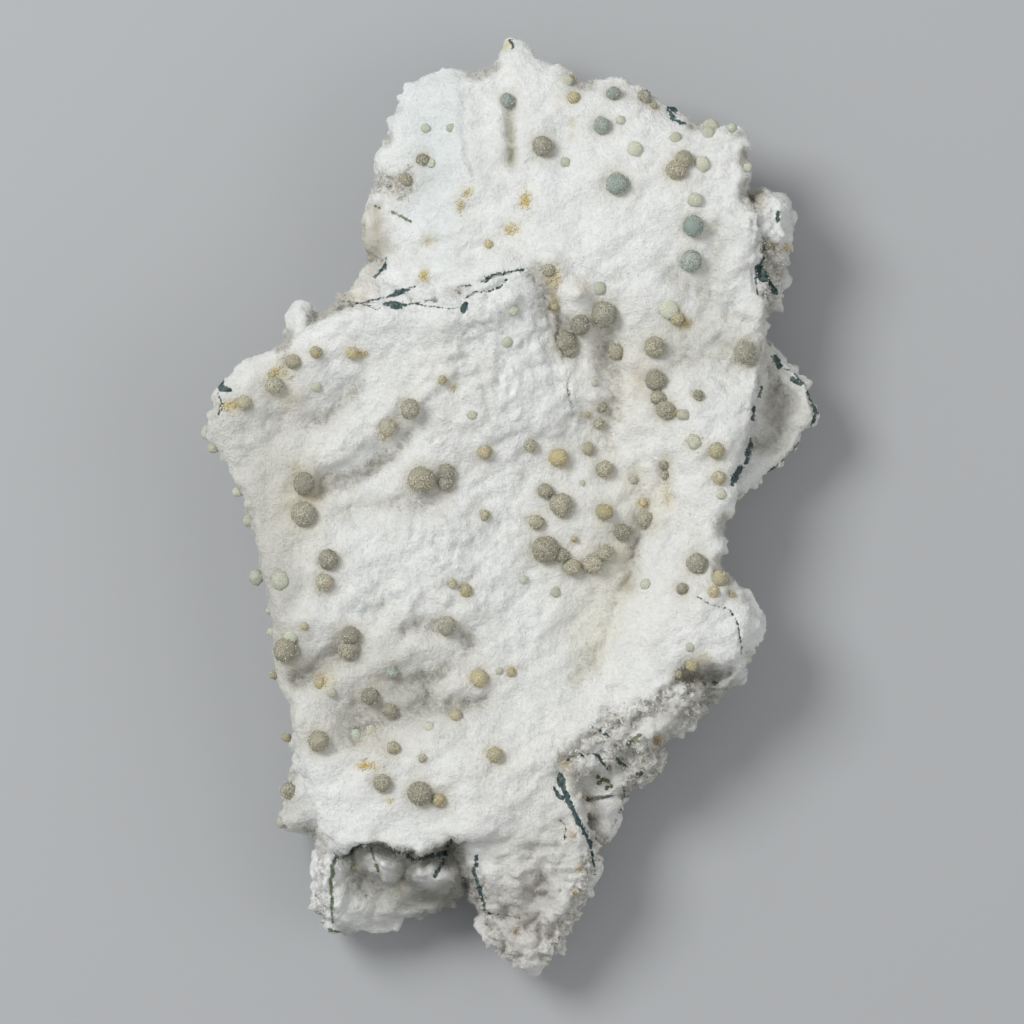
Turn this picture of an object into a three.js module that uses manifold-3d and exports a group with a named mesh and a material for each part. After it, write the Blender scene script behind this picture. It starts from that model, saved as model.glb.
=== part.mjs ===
// Okenite cabinet specimen: a broken slab of white, matted okenite crust, carrying small round
// gyrolite balls. It lies on its back on a flat rest facet at z = 0 and shows its face upwards.
// Millimetres, +X to the right and +Y to the top of the face, +Z out of the face.

import * as THREE from 'three';
import { mergeVertices } from 'three/addons/utils/BufferGeometryUtils.js';
import { ImprovedNoise } from 'three/addons/math/ImprovedNoise.js';
import Module from 'manifold-3d';

const wasm = await Module();
wasm.setup();

// ---------------------------------------------------------------- driving dimensions

const UPPER_TOP = 28;        // face height of the upper plate and the right bank
const PLATE_TOP = 35;        // face height of the front plate, which lies over the rest
const CREST_RISE = 4;        // how much the front plate's broken upper edge stands above its face
const TROUGH_DEPTH = 5;      // smooth hollow between the front plate and the right bank
const BELOW_REST = -4;       // how far the lobes run below the rest facet before it is cut
const REST_Z = 0;            // the cut facet that the specimen lies on

const GRAIN_TURN = THREE.MathUtils.degToRad(38);  // the lumps run from lower left to upper right
const LUMP_LENGTH = 15;      // size of the soft lumps along the grain
const LUMP_WIDTH = 7;        // and across it
const LUMP_HEIGHT = 1.1;
const FINE_SEED = 9.3;       // keeps the smaller lumps apart from the larger ones
const KNOB_SIZE = 8;         // size of the knobs on the broken sides
const KNOB_HEIGHT = 1.7;
const LAYER_PITCH = 7;       // spacing of the ledges that run round the broken sides
const LAYER_DEPTH = 0.7;
const LAYER_RUN = 11;        // the ledges climb as they run round
const SHOULDER_SHARE = 0.22; // share of a lobe's side that is taken by its round shoulder
const FLOOR_SHARE = 0.06;    // share of a lobe's facets that goes to its floor

const FACE_STEP = 5.8;       // facet size on the two large faces
const WALL_STEPS = [         // the fluted wall of a plate, from its floor up through its face
  { up: 0, above: 0, lean: 1, turn: 0, rough: false },
  { up: 0.5, above: 0, lean: 0.5, turn: 0, rough: true },
  { up: 1, above: -2.5, lean: 0, turn: 0, rough: false },
  { up: 1, above: 5, lean: 0, turn: 2, rough: false },
];
const WALL_CAP = 90;         // the wall's cap stays clear above every face

const BALL_SINK = 0.62;      // a seated ball's centre stands this share of its radius above the crust

// ---------------------------------------------------------------- small helpers

const perlin = new ImprovedNoise();

// A soft hill of height 1, reaching about twice its spread from the line through the points.
function nearLine(x, y, points, spread) {
  let nearest = Infinity;
  for (let i = 0; i + 1 < points.length; i++) {
    const [ax, ay] = points[i];
    const [bx, by] = points[i + 1];
    const along = ((x - ax) * (bx - ax) + (y - ay) * (by - ay)) / ((bx - ax) ** 2 + (by - ay) ** 2);
    const t = THREE.MathUtils.clamp(along, 0, 1);
    nearest = Math.min(nearest, Math.hypot(x - ax - t * (bx - ax), y - ay - t * (by - ay)));
  }
  return Math.exp(-((nearest / spread) ** 2));
}

// A soft round hill of height 1 with its own spread along X and Y.
function nearPoint(x, y, [cx, cy], [rx, ry]) {
  return Math.exp(-(((x - cx) / rx) ** 2) - ((y - cy) / ry) ** 2);
}

// The soft lumps of the matted face, drawn out along the grain.
function lumps(x, y, z) {
  const along = (x * Math.cos(GRAIN_TURN) + y * Math.sin(GRAIN_TURN)) / LUMP_LENGTH;
  const across = (y * Math.cos(GRAIN_TURN) - x * Math.sin(GRAIN_TURN)) / LUMP_WIDTH;
  const soft = perlin.noise(along, across, z / LUMP_WIDTH);
  const fine = perlin.noise(2 * along, 2 * across, z / LUMP_WIDTH + FINE_SEED);
  return LUMP_HEIGHT * (soft + 0.5 * fine);
}

// ---------------------------------------------------------------- heights of the face

const UPPER_BEND = 0.0045;       // the upper plate bends down towards its top edge
const UPPER_BEND_FROM = 58;
const TROUGH_SPREAD = 7.5;
const TROUGH = [[9, 38], [16, 28], [19, 14], [27, 6], [26, -6], [20, -18], [15.5, -30]];

const HILLS = [
  { at: [8, 58], spread: [36, 34], rise: 3.2 },      // the upper plate's broad swell
  { at: [36, 62], spread: [12, 14], rise: 1.2 },
  { at: [37, 14], spread: [9, 14], rise: 2.6 },      // ridge beside the trough
  { at: [37, -23], spread: [13, 12], rise: 3.6 },    // bright block at the lower right
  { at: [18, -38], spread: [12, 9], rise: 2.6 },     // bank that runs down from it
  { at: [36, 37], spread: [6, 4], rise: -2.4 },      // shaded dips beside the rear bowl
  { at: [44, 28], spread: [8, 4], rise: -3 },
  { at: [-24, 60], spread: [7, 8], rise: -2 },       // crumbly grey corner at the upper left
  { at: [33, 82], spread: [7, 6], rise: -3 },        // chipped upper right edge
];

function upperTop(x, y) {
  let z = UPPER_TOP - UPPER_BEND * Math.max(0, y - UPPER_BEND_FROM) ** 2;
  for (const hill of HILLS) {
    z += hill.rise * nearPoint(x, y, hill.at, hill.spread);
  }
  z -= TROUGH_DEPTH * nearLine(x, y, TROUGH, TROUGH_SPREAD);
  return z + lumps(x, y, 3);
}

const CREST = [[-58, 23], [-44, 31], [-30, 40], [-18, 41], [-8, 43], [1, 46]];

const FURROWS = [
  { line: [[-46, 15], [-38, 15], [-31, 22]], spread: 3.2, rise: -1.8 },
  { line: [[-42, 10], [-28, 22], [-12, 33]], spread: 3.4, rise: 1.4 },
  { line: [[-41, 5], [-33, 6], [-26, 13], [-18, 21], [-8, 30]], spread: 3, rise: -2.8 },
  { line: [[-34, 2], [-26, 4], [-16, 5], [-9, 6]], spread: 3.4, rise: -2.2 },
  { line: [[-37, -18], [-29, -20], [-24, -17]], spread: 2.4, rise: -1.4 },
  { line: [[-42, -24], [-35, -21], [-28, -24]], spread: 2.8, rise: 1.2 },
  { line: [[-43, -33], [-36, -29], [-32, -25]], spread: 2.8, rise: -2.6 },
  { line: [[-23, -24], [-13, -23], [-8, -28]], spread: 2.6, rise: -2.4 },
  { line: [[-34, -41], [-28, -36], [-22, -34], [-13, -32]], spread: 3.6, rise: -3.2 },
  { line: [[-13, -39], [-6, -35], [-2, -36]], spread: 2.8, rise: -2 },
  { line: [[4, 14], [14, 14]], spread: 2.2, rise: -1.6 },
];

// Beside the upper trough the front plate ends in a step. Below it, from STEP_END down to
// MERGE_END, it runs smoothly into the trough and the bank, and dips just under them.
const STEP_END = 16;
const MERGE_END = -46;
const MERGE_FROM = -26;      // the merge runs between these places along X
const MERGE_TO = 15;
const MERGE_DIP = 1.5;
const RIGHT_FALL = 5;
const DOWN_SLOPE = 0.05;
const CREST_SPREAD = 8;

function plateTop(x, y) {
  const { smoothstep, lerp } = THREE.MathUtils;
  const fallRight = RIGHT_FALL * smoothstep(x, -12, 18);
  const fallDown = DOWN_SLOPE * Math.max(0, -8 - y);
  let z = PLATE_TOP - fallRight - fallDown + lumps(x, y, 1);
  z += CREST_RISE * nearLine(x, y, CREST, CREST_SPREAD);
  for (const furrow of FURROWS) {
    z += furrow.rise * nearLine(x, y, furrow.line, furrow.spread);
  }
  const merge = smoothstep(x, MERGE_FROM, MERGE_TO) * smoothstep(-y, -STEP_END - 4, -STEP_END + 10)
    * smoothstep(y, MERGE_END - 6, MERGE_END + 6);
  return lerp(z, upperTop(x, y) - MERGE_DIP, merge);
}

// ---------------------------------------------------------------- the lobes of the crust

// The outline as a smooth closed curve in the XY plane.
function curveOf(outline) {
  return new THREE.CatmullRomCurve3(
    outline.map(([x, y]) => new THREE.Vector3(x, y, 0)), true, 'centripetal');
}

// The outline read as its reach from the centre at an angle.
function reachOf(outline, centre) {
  const rim = curveOf(outline).getPoints(outline.length * 8).map((p) => ({
    angle: Math.atan2(p.y - centre[1], p.x - centre[0]),
    reach: Math.hypot(p.x - centre[0], p.y - centre[1]),
  }));
  rim.sort((a, b) => a.angle - b.angle);
  return (angle) => {
    let after = rim.findIndex((p) => p.angle >= angle);
    if (after === -1) after = 0;
    const a = rim[(after + rim.length - 1) % rim.length];
    const b = rim[after];
    const span = (b.angle - a.angle + 2 * Math.PI) % (2 * Math.PI);
    const part = span > 0 ? ((angle - a.angle + 2 * Math.PI) % (2 * Math.PI)) / span : 0;
    return THREE.MathUtils.lerp(a.reach, b.reach, THREE.MathUtils.clamp(part, 0, 1));
  };
}

// How far the broken side stands out or in at a point: knobs, and ledges that run round it.
function sideRelief(x, y, z) {
  const knob = KNOB_HEIGHT * perlin.noise(x / KNOB_SIZE, y / KNOB_SIZE, z / KNOB_SIZE);
  const tilt = (x + y) / LAYER_RUN;
  return knob + LAYER_DEPTH * Math.sin((2 * Math.PI * z) / LAYER_PITCH + tilt);
}

// A lobe starts as a ball of even facets. The facets are shared out to its face, its side and its
// floor, and each is carried onto the outline: the face follows a height function, and the side
// rounds over a shoulder and leans in below it.
function lobe({ outline, centre, facets, faceShare, top, floor, shoulder = 3, lean = 4 }) {
  const reachAt = reachOf(outline, centre);
  const faceEnd = 1 - 2 * faceShare;
  const floorEnd = -1 + 2 * FLOOR_SHARE;
  const ball = closed(new THREE.IcosahedronGeometry(1, facets));
  const place = ball.getAttribute('position');
  for (let i = 0; i < place.count; i++) {
    const n = new THREE.Vector3().fromBufferAttribute(place, i).normalize();
    const angle = Math.atan2(n.y, n.x);
    const reach = reachAt(angle);
    let out;
    let drop = 0;
    if (n.z >= faceEnd) {
      out = (reach - shoulder) * Math.sqrt((1 - n.z) / (1 - faceEnd));
    } else if (n.z > floorEnd) {
      drop = (faceEnd - n.z) / (faceEnd - floorEnd);
      const rounding = Math.max(0, 1 - drop / SHOULDER_SHARE) ** 2;
      out = reach - shoulder * rounding - lean * THREE.MathUtils.smoothstep(drop, SHOULDER_SHARE, 1);
    } else {
      drop = 1;
      out = (reach - lean) * Math.sqrt((1 + n.z) / (1 + floorEnd));
    }
    const x = centre[0] + out * Math.cos(angle);
    const y = centre[1] + out * Math.sin(angle);
    const z = THREE.MathUtils.lerp(top(x, y), floor, drop);
    const push = Math.sin(Math.PI * drop) * sideRelief(x, y, z);
    place.setXYZ(i, x + push * Math.cos(angle), y + push * Math.sin(angle), z);
  }
  return solid(ball);
}

// A plate has a ragged rim. A block with a wavy face is cut to the outline by a fluted wall, which
// leans in towards the floor and turns in over a shoulder before it passes through the face. The
// wall has one column at each point of the outline and one halfway to the next.
function plate({ outline, centre, top, floor, shoulder, lean }) {
  const flutes = 2 * outline.length;
  const rim = curveOf([...outline].reverse());
  const levels = WALL_STEPS.length - 1;
  const wall = closed(new THREE.CylinderGeometry(1, 1, 1, flutes, levels));
  const place = wall.getAttribute('position');
  for (let i = 0; i < place.count; i++) {
    const step = WALL_STEPS[Math.round((place.getY(i) + 0.5) * levels)];
    if (Math.hypot(place.getX(i), place.getZ(i)) < 0.5) {
      place.setXYZ(i, centre[0], centre[1], step.up === 0 ? floor : WALL_CAP);
      continue;
    }
    const turn = Math.atan2(place.getX(i), place.getZ(i)) / (2 * Math.PI) + 1;
    const edge = rim.getPoint((Math.round(turn * flutes) % flutes) / flutes);
    const angle = Math.atan2(edge.y - centre[1], edge.x - centre[0]);
    const reach = Math.hypot(edge.x - centre[0], edge.y - centre[1]);
    const z = THREE.MathUtils.lerp(floor, top(edge.x, edge.y), step.up) + step.above;
    let out = reach - lean * step.lean - shoulder * step.turn;
    if (step.rough) out += sideRelief(edge.x, edge.y, z);
    place.setXYZ(i, centre[0] + out * Math.cos(angle), centre[1] + out * Math.sin(angle), z);
  }

  const reaches = outline.map(([x, y]) => Math.max(Math.abs(x - centre[0]), Math.abs(y - centre[1])));
  const half = Math.max(...reaches) + FACE_STEP;
  const steps = Math.round((2 * half) / FACE_STEP);
  const block = new THREE.BoxGeometry(2 * half, 2 * half, 1, steps, steps, 1);
  const grid = block.getAttribute('position');
  for (let i = 0; i < grid.count; i++) {
    const wander = 0.4 * FACE_STEP * perlin.noise(grid.getX(i) / 9, grid.getY(i) / 9, 2.5);
    const x = centre[0] + grid.getX(i) + wander;
    const y = centre[1] + grid.getY(i) - wander;
    const z = grid.getZ(i) > 0 ? top(x, y) : floor - 1;
    grid.setXYZ(i, x, y, z);
  }
  return solid(wall).intersect(solid(closed(block)));
}

// The same vertices without their normals and UVs, merged, so that the surface is closed.
function closed(geometry) {
  geometry.deleteAttribute('normal');
  geometry.deleteAttribute('uv');
  return mergeVertices(geometry, 1e-4);
}

function solid(geometry) {
  const vertProperties = new Float32Array(geometry.getAttribute('position').array);
  const triVerts = new Uint32Array(geometry.getIndex().array);
  return new wasm.Manifold(new wasm.Mesh({ numProp: 3, vertProperties, triVerts }));
}

function geometryOf(manifold) {
  const mesh = manifold.getMesh();
  const geometry = new THREE.BufferGeometry();
  geometry.setAttribute('position', new THREE.BufferAttribute(new Float32Array(mesh.vertProperties), 3));
  geometry.setIndex(new THREE.BufferAttribute(new Uint32Array(mesh.triVerts), 1));
  return geometry;
}

// The upper plate, the trough and the right bank in one slab, which also backs the front plate.
const slab = plate({
  outline: [
    [-1.5, 94], [1, 94], [3.5, 92.5], [6, 90], [10, 89], [13, 85.5], [18, 86.2], [22, 86],
    [26, 84], [31, 81.5], [34, 79.5], [37, 76], [39, 77.8], [42, 76.5], [48.5, 75.5], [47, 73],
    [46.8, 70], [48, 68], [46.5, 64.5], [48, 61], [50, 54], [51, 46], [51, 38], [50, 30], [48, 19],
    [45, 9], [45, 2], [42, -4], [43, -7], [41, -11], [44, -16], [42, -26], [37, -36], [30, -45],
    [20, -49], [9, -56], [-10, -60], [-30, -58], [-41, -44], [-45, -28], [-48, -10], [-51.5, 3],
    [-56, 16], [-55, 24], [-44, 33], [-38.5, 39], [-33, 43], [-30, 47.5], [-25, 49.5], [-28, 52.5],
    [-30, 59], [-28, 64], [-26.5, 66], [-27.5, 71.5], [-24.5, 74], [-25, 78], [-22.5, 80.5],
    [-22.5, 83], [-20, 86], [-13, 89], [-8.5, 87.5], [-4.5, 88.5], [-2, 91],
  ],
  centre: [2, 8],
  top: upperTop,
  floor: BELOW_REST,
  shoulder: 3.5,
  lean: 9,
});

// The front plate, which lies highest and breaks off in a crest along its upper edge.
const frontPlate = plate({
  outline: [
    [-59.5, 19.5], [-59, 23.5], [-53.5, 29], [-45.5, 33], [-38.5, 38], [-32.5, 40.5], [-25.5, 42],
    [-18.5, 41.5], [-11.5, 43], [-4.5, 46], [1.5, 48], [5.5, 45], [8, 38.5], [10, 32], [11.5, 24],
    [13, 16], [15, 6], [17.5, -6], [18, -18], [17.5, -30], [14, -40], [11, -46], [9, -52],
    [8, -58], [3.5, -63], [-6.5, -66], [-12.5, -66.5], [-18.5, -68.5], [-25.5, -67],
    [-32.5, -67.5], [-37.5, -66.5], [-39, -61.5], [-40.5, -56], [-43, -48], [-44, -40],
    [-47, -33], [-47, -26], [-48.5, -18], [-50.5, -10], [-52.5, -1], [-54.5, 4], [-58, 11], [-60.5, 15],
  ],
  centre: [-20, -10],
  top: plateTop,
  floor: 12,
  shoulder: 2.4,
  lean: 8,
});

const lowerRightBlock = lobe({
  outline: [
    [28.5, -16], [35.5, -12.5], [40.5, -11.5], [44, -15], [48.5, -16.5], [50.5, -20.5],
    [50.5, -23.5], [47.5, -30], [47, -33], [46, -35.5], [41, -37.5], [38.5, -39.5], [35.5, -43.5],
    [30.5, -46.5], [25.5, -45], [17.5, -42.5], [10.5, -46.5], [7, -45], [9.5, -39], [14.5, -34],
    [18, -28], [21.5, -21],
  ],
  centre: [32, -31],
  facets: 4,
  faceShare: 0.5,
  top: (x, y) => upperTop(x, y) + 0.3,
  floor: 2,
  shoulder: 4.5,
  lean: 7,
});

const brokenEdge = lobe({
  outline: [
    [5, -47], [17.5, -41], [25.5, -43], [30.5, -46.5], [31, -49.5], [28.5, -53.5],
    [24, -56], [20, -58.5], [14.5, -59], [9, -58], [5, -52],
  ],
  centre: [18, -50],
  facets: 2,
  faceShare: 0.5,
  top: (x, y) => 25 + 0.45 * (y + 47) + 2 * lumps(x, y, 5),
  floor: 1,
  shoulder: 2,
  lean: 5,
});

const sideShell = lobe({
  outline: [
    [13.5, -55], [18.5, -53], [23, -55.5], [23.5, -59], [22.5, -63], [20.5, -66], [18.5, -68.5],
    [15.5, -67], [13.5, -61],
  ],
  centre: [18, -60],
  facets: 1,
  faceShare: 0.45,
  top: (x, y) => 15 + 0.2 * (y + 60),
  floor: 4,
  shoulder: 2.5,
  lean: 3,
});

// The leg's face starts just under the front plate and runs out of it without a step.
function legTop(x, y) {
  const { smoothstep, lerp } = THREE.MathUtils;
  const below = 29.5 + 0.42 * (y + 63) - 0.012 * (x - 2) ** 2 + 1.6 * lumps(x, y, 7);
  return lerp(plateTop(x, y) - 0.3, below, smoothstep(-y, 55, 69));
}

const lowerLeg = lobe({
  outline: [
    [-12, -66], [-11, -58], [-7, -50], [2, -46], [9, -48], [13, -54], [15.5, -61], [17, -67.5],
    [19, -71.5], [17.5, -73], [16, -76], [14, -78], [13, -82], [9.5, -88], [7.5, -91],
    [4.5, -92.5], [2, -94.5], [0.5, -93], [-2, -88.5], [-6, -86], [-6, -83], [-7, -80.5],
    [-8.5, -76], [-9.5, -71.5],
  ],
  centre: [4, -72],
  facets: 4,
  faceShare: 0.46,
  top: legTop,
  floor: 2,
  shoulder: 3,
  lean: 5,
});

const lowerLeftLobe = lobe({
  outline: [
    [-39, -68], [-40, -74], [-40, -77], [-39, -81], [-37.5, -83.5], [-35, -85.5], [-29.5, -84],
    [-23.5, -83.5], [-17.5, -82], [-12.5, -80.5], [-10, -78], [-9, -73], [-10, -66], [-16.5, -62],
    [-26.5, -60], [-36, -61],
  ],
  centre: [-25, -73],
  facets: 4,
  faceShare: 0.48,
  top: (x, y) => 17 + 12 * nearPoint(x, y, [-38, -64], [7, 20]) + 4 * nearPoint(x, y, [-25, -70], [3, 3])
    + 2.5 * nearPoint(x, y, [-17, -76], [5, 4]) + lumps(x, y, 9),
  floor: BELOW_REST,
  shoulder: 3.5,
  lean: 4,
});

const leftLayer = lobe({
  outline: [
    [-32, -44], [-44, -45.5], [-44.5, -49], [-44.5, -53.5], [-46.5, -56], [-45, -59.5],
    [-47, -62.5], [-47, -64], [-43.5, -64.5], [-31, -63], [-28, -54],
  ],
  centre: [-38, -56],
  facets: 2,
  faceShare: 0.4,
  top: (x, y) => 21 + 0.5 * lumps(x, y, 2),
  floor: 3,
  shoulder: 1.6,
  lean: 3,
});

const rightLump = lobe({
  outline: [
    [44, 61], [51, 63.5], [54, 63.5], [56, 61.5], [56.5, 54], [54.5, 49.5], [54, 45], [55, 42.5],
    [53.5, 40], [51, 38], [46, 38], [43, 44], [42, 54],
  ],
  centre: [49, 51],
  facets: 3,
  faceShare: 0.4,
  top: (x, y) => 21 - 0.25 * (x - 48) + 2.4 * lumps(x, y, 4),
  floor: 3,
  shoulder: 3,
  lean: 4,
});

// The rear bowl at the right, a shell with a thin broken rim.
const rearBowl = lobe({
  outline: [
    [48, 35], [53.5, 34], [53.5, 31.5], [57, 28.5], [59, 26.5], [60, 23.5], [61.2, 19],
    [58.5, 15.5], [57.5, 13], [55.5, 10.5], [50.5, 6.5], [47, 3], [42, 2], [40, 8], [42, 16],
    [43, 24], [44, 32],
  ],
  centre: [50, 19],
  facets: 4,
  faceShare: 0.55,
  top: (x, y) => 21 - 8 * nearPoint(x, y, [51, 19], [5.5, 9]) + 0.6 * lumps(x, y, 6),
  floor: 3,
  shoulder: 0.9,
  lean: 6,
});

// A white finger of crust on the upper left edge and the tan knobs above the crest.
const finger = lobe({
  outline: [[-44.5, 36], [-44, 40], [-42, 41.5], [-40, 40], [-39.5, 36], [-40, 30], [-44, 30]],
  centre: [-42, 36],
  facets: 2,
  faceShare: 0.4,
  top: () => 31,
  floor: 16,
  shoulder: 1.4,
  lean: 1,
});

const edgeKnobs = lobe({
  outline: [[-30, 54], [-28, 49], [-23, 47], [-20, 51], [-22, 57], [-26, 59], [-29.5, 58]],
  centre: [-25, 53],
  facets: 1,
  faceShare: 0.45,
  top: (x, y) => 27 + 1.5 * lumps(x, y, 8),
  floor: 6,
  shoulder: 2,
  lean: 3,
});

const LOBES = [
  slab, frontPlate, lowerRightBlock, brokenEdge, sideShell, lowerLeg, lowerLeftLobe, leftLayer,
  rightLump, rearBowl, finger, edgeKnobs,
];

const belowRest = new THREE.BoxGeometry(200, 260, 60);
belowRest.translate(0, 0, REST_Z - 30);

let crust = LOBES.reduce((joined, piece) => joined.add(piece));
crust = crust.subtract(solid(closed(belowRest)));

// ---------------------------------------------------------------- gyrolite balls

// Each ball is seated on the crust below it: [x, y, diameter].
const SEATED_BALLS = [
  // upper plate
  [6, 72.4, 4], [20.8, 64.8, 4.4], [33.2, 68.4, 4.8], [36, 56.4, 4.4], [35.6, 49.4, 4.2],
  // foot of the upper plate, above the trough
  [18.4, 38.8, 5], [13.6, 36.8, 4], [10.8, 33.6, 4], [31.2, 40, 3.8], [28.4, 32.4, 4.4],
  [46.4, 31.4, 4.6], [28.6, 25.8, 4], [30.4, 20, 3.8],
  // trough
  [9.2, 10.4, 3.8], [18.4, 8.2, 3.6], [9.8, 1, 4.8], [26.4, -1.8, 3.6],
  [22, -4.4, 3.6], [6.6, -7.8, 5.4], [12, -11.4, 3.6], [16.2, -10.8, 4],
  [36.8, -10.6, 4],
  // front plate
  [-47, 24.6, 3.6], [-20.2, 20, 4], [-18, 6, 5.4],
  [-41.2, 5.2, 4.4], [-41.4, -0.8, 4.4], [-36.4, -9.8, 4],
  [-46, -14, 3.6], [-13, -23, 3.8], [-32, -25, 3.8], [-32.4, -27.6, 4.2], [-45, -27.8, 5],
  [-6.6, -33.4, 3.6], [-28.2, -37, 3.6], [-38.4, -45.8, 4.4],
  [-25.8, -54.2, 3.6], [-18.4, -56.2, 4.8],
];

// These hang on the sides, so that their height is given too: [x, y, z, diameter].
const SIDE_BALLS = [
  [-44.4, -56.2, 19, 4.2], [-59.6, 16, 31, 3], [-46.8, -13.4, 28, 3.2], [39.4, 75.4, 22, 3.4],
];

const LARGE_BALL = 4.5;
const down = new THREE.Vector3(0, 0, -1);
const crustMesh = new THREE.Mesh(geometryOf(crust));
crustMesh.geometry.computeBoundingSphere();

function crustHeight(x, y) {
  const ray = new THREE.Raycaster(new THREE.Vector3(x, y, 100), down);
  return ray.intersectObject(crustMesh)[0].point.z;
}

function ball(x, y, z, diameter) {
  const Shape = diameter >= LARGE_BALL ? THREE.IcosahedronGeometry : THREE.OctahedronGeometry;
  const shape = new Shape(diameter / 2, 1);
  shape.rotateZ(x + y);
  shape.rotateX(y);
  shape.translate(x, y, z);
  return solid(closed(shape));
}

for (const [x, y, diameter] of SEATED_BALLS) {
  crust = crust.add(ball(x, y, crustHeight(x, y) + BALL_SINK * diameter / 2, diameter));
}
for (const [x, y, z, diameter] of SIDE_BALLS) {
  crust = crust.add(ball(x, y, z, diameter));
}

// ---------------------------------------------------------------- the specimen

const okeniteWhite = new THREE.MeshStandardMaterial({ color: 0xe4e6e2, roughness: 0.9, metalness: 0 });

const specimen = new THREE.Mesh(geometryOf(crust), okeniteWhite);
specimen.name = 'okenite_specimen';

const group = new THREE.Group();
group.add(specimen);

export default group;
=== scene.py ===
# %% [markdown]
# # A slab of okenite with gyrolite balls
#
# Okenite grows as very fine white needles. On this specimen they are matted into a thick, snowy crust,
# broken off all round. Small round balls of gyrolite sit on it, and dark blue-green celadonite shows in
# its cracks and broken edges. The slab lies on its flat back, so the camera looks straight down on its
# face.
#
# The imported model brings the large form: plates, lobes, trough and broken sides. These cells give it its
# surface, in this order: the camera and light, the crust and its colours, the balls, the crumbs of
# celadonite, the rubble, and the needles. Places and sizes are in millimetres, and MM turns them into
# Blender's metres.

# %% Load the frame
import itertools
import math

import bmesh
import bpy
import numpy as np
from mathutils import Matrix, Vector
from mathutils.bvhtree import BVHTree


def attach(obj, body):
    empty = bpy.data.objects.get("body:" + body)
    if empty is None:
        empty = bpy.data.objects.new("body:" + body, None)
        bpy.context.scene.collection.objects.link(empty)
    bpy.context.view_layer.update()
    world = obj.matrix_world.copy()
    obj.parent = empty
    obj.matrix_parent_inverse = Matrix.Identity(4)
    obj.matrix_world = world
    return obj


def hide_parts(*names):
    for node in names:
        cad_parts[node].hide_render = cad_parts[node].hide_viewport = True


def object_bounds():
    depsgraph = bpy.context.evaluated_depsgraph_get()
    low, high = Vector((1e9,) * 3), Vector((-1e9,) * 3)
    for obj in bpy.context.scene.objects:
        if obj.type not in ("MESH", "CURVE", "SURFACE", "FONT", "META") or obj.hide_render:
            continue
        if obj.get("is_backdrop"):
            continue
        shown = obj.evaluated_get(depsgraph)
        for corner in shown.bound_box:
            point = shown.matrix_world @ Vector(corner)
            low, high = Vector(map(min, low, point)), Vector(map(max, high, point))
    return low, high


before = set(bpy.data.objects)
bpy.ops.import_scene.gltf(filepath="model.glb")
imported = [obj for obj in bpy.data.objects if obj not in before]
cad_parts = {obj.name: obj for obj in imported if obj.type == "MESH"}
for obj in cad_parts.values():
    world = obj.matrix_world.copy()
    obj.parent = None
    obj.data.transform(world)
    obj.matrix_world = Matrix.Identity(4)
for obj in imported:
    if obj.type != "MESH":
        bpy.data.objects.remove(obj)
cad_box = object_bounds()
MM = 0.001
print("CAD box in mm:", [tuple(round(v / MM, 1) for v in corner) for corner in cad_box])

# %% [markdown]
# ## Camera
#
# A wide lens close to the slab would make its high parts look larger than its low ones. A long lens from
# far away keeps every part at its true size, so the lens here is 300 mm, and its height above the slab is
# worked out from the width that the picture has to take in.

# %% Camera
VIEW_WIDTH = 204.8 * MM
VIEW_PLANE = 20 * MM           # the height at which the view is exactly that wide
VIEW_DOWN = 0.4 * MM           # the picture's centre lies this far below the origin
LENS = 300.0
SENSOR = 36.0
FARTHEST = 50.0                # what lies farther away than this, in metres, isn't seen

lens = bpy.data.cameras.new("camera")
lens.lens = LENS
lens.sensor_width = SENSOR
lens.clip_end = FARTHEST
camera = bpy.data.objects.new("camera", lens)
camera.location = (0, -VIEW_DOWN, VIEW_PLANE + VIEW_WIDTH * LENS / SENSOR)
bpy.context.scene.collection.objects.link(camera)
bpy.context.scene.camera = camera
print("camera height:", round(camera.location.z, 3), "m")

# %% [markdown]
# ## Light
#
# A white surface loses its relief under even light, and its whiteness under hard light. So the key light
# is a wide panel high on the upper left, which shades the far side of each ridge a little. A panel from
# the right and a pale sky fill the shadows. The standard view keeps white as white, where the film-like
# default would grey it.

# %% Light
bpy.context.scene.view_settings.view_transform = "Standard"

KEY_FROM = Vector((-0.58, 0.42, 0.95))
FILL_FROM = Vector((0.8, -0.1, 0.9))
PANEL_DISTANCE = 1.3           # in metres
KEY_SIZE = 0.55                # in metres
FILL_SIZE = 2 * KEY_SIZE
KEY_POWER = 10.2               # in watts
FILL_POWER = 2.3
SKY = (0.98, 0.99, 1.0)
SKY_STRENGTH = 0.44


def panel_light(name, toward, size, power):
    """A round panel that shines from this direction onto the origin."""
    panel = bpy.data.lights.new(name, "AREA")
    panel.shape = "DISK"
    panel.size = size
    panel.energy = power
    light = bpy.data.objects.new(name, panel)
    light.location = toward.normalized() * PANEL_DISTANCE
    light.rotation_mode = "QUATERNION"
    light.rotation_quaternion = toward.to_track_quat("Z", "Y")
    bpy.context.scene.collection.objects.link(light)
    print(name, "light:", power, "W")


panel_light("key", KEY_FROM, KEY_SIZE, KEY_POWER)
panel_light("fill", FILL_FROM, FILL_SIZE, FILL_POWER)

sky = bpy.data.worlds.new("sky")
sky.use_nodes = True
background = sky.node_tree.nodes["Background"]
background.inputs["Color"].default_value = (*SKY, 1)
background.inputs["Strength"].default_value = SKY_STRENGTH
bpy.context.scene.world = sky

# %% [markdown]
# ## Materials, shared helpers
#
# Colours are easiest to judge as the numbers a picture shows, from 0 to 255. A shader works in linear
# light, so one helper turns the first into the second. The materials below are built from a few kinds of
# node. Each kind has a helper that adds the node, joins it to what feeds it, and hands back its output,
# so that a material reads from the inside out like a formula.

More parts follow.
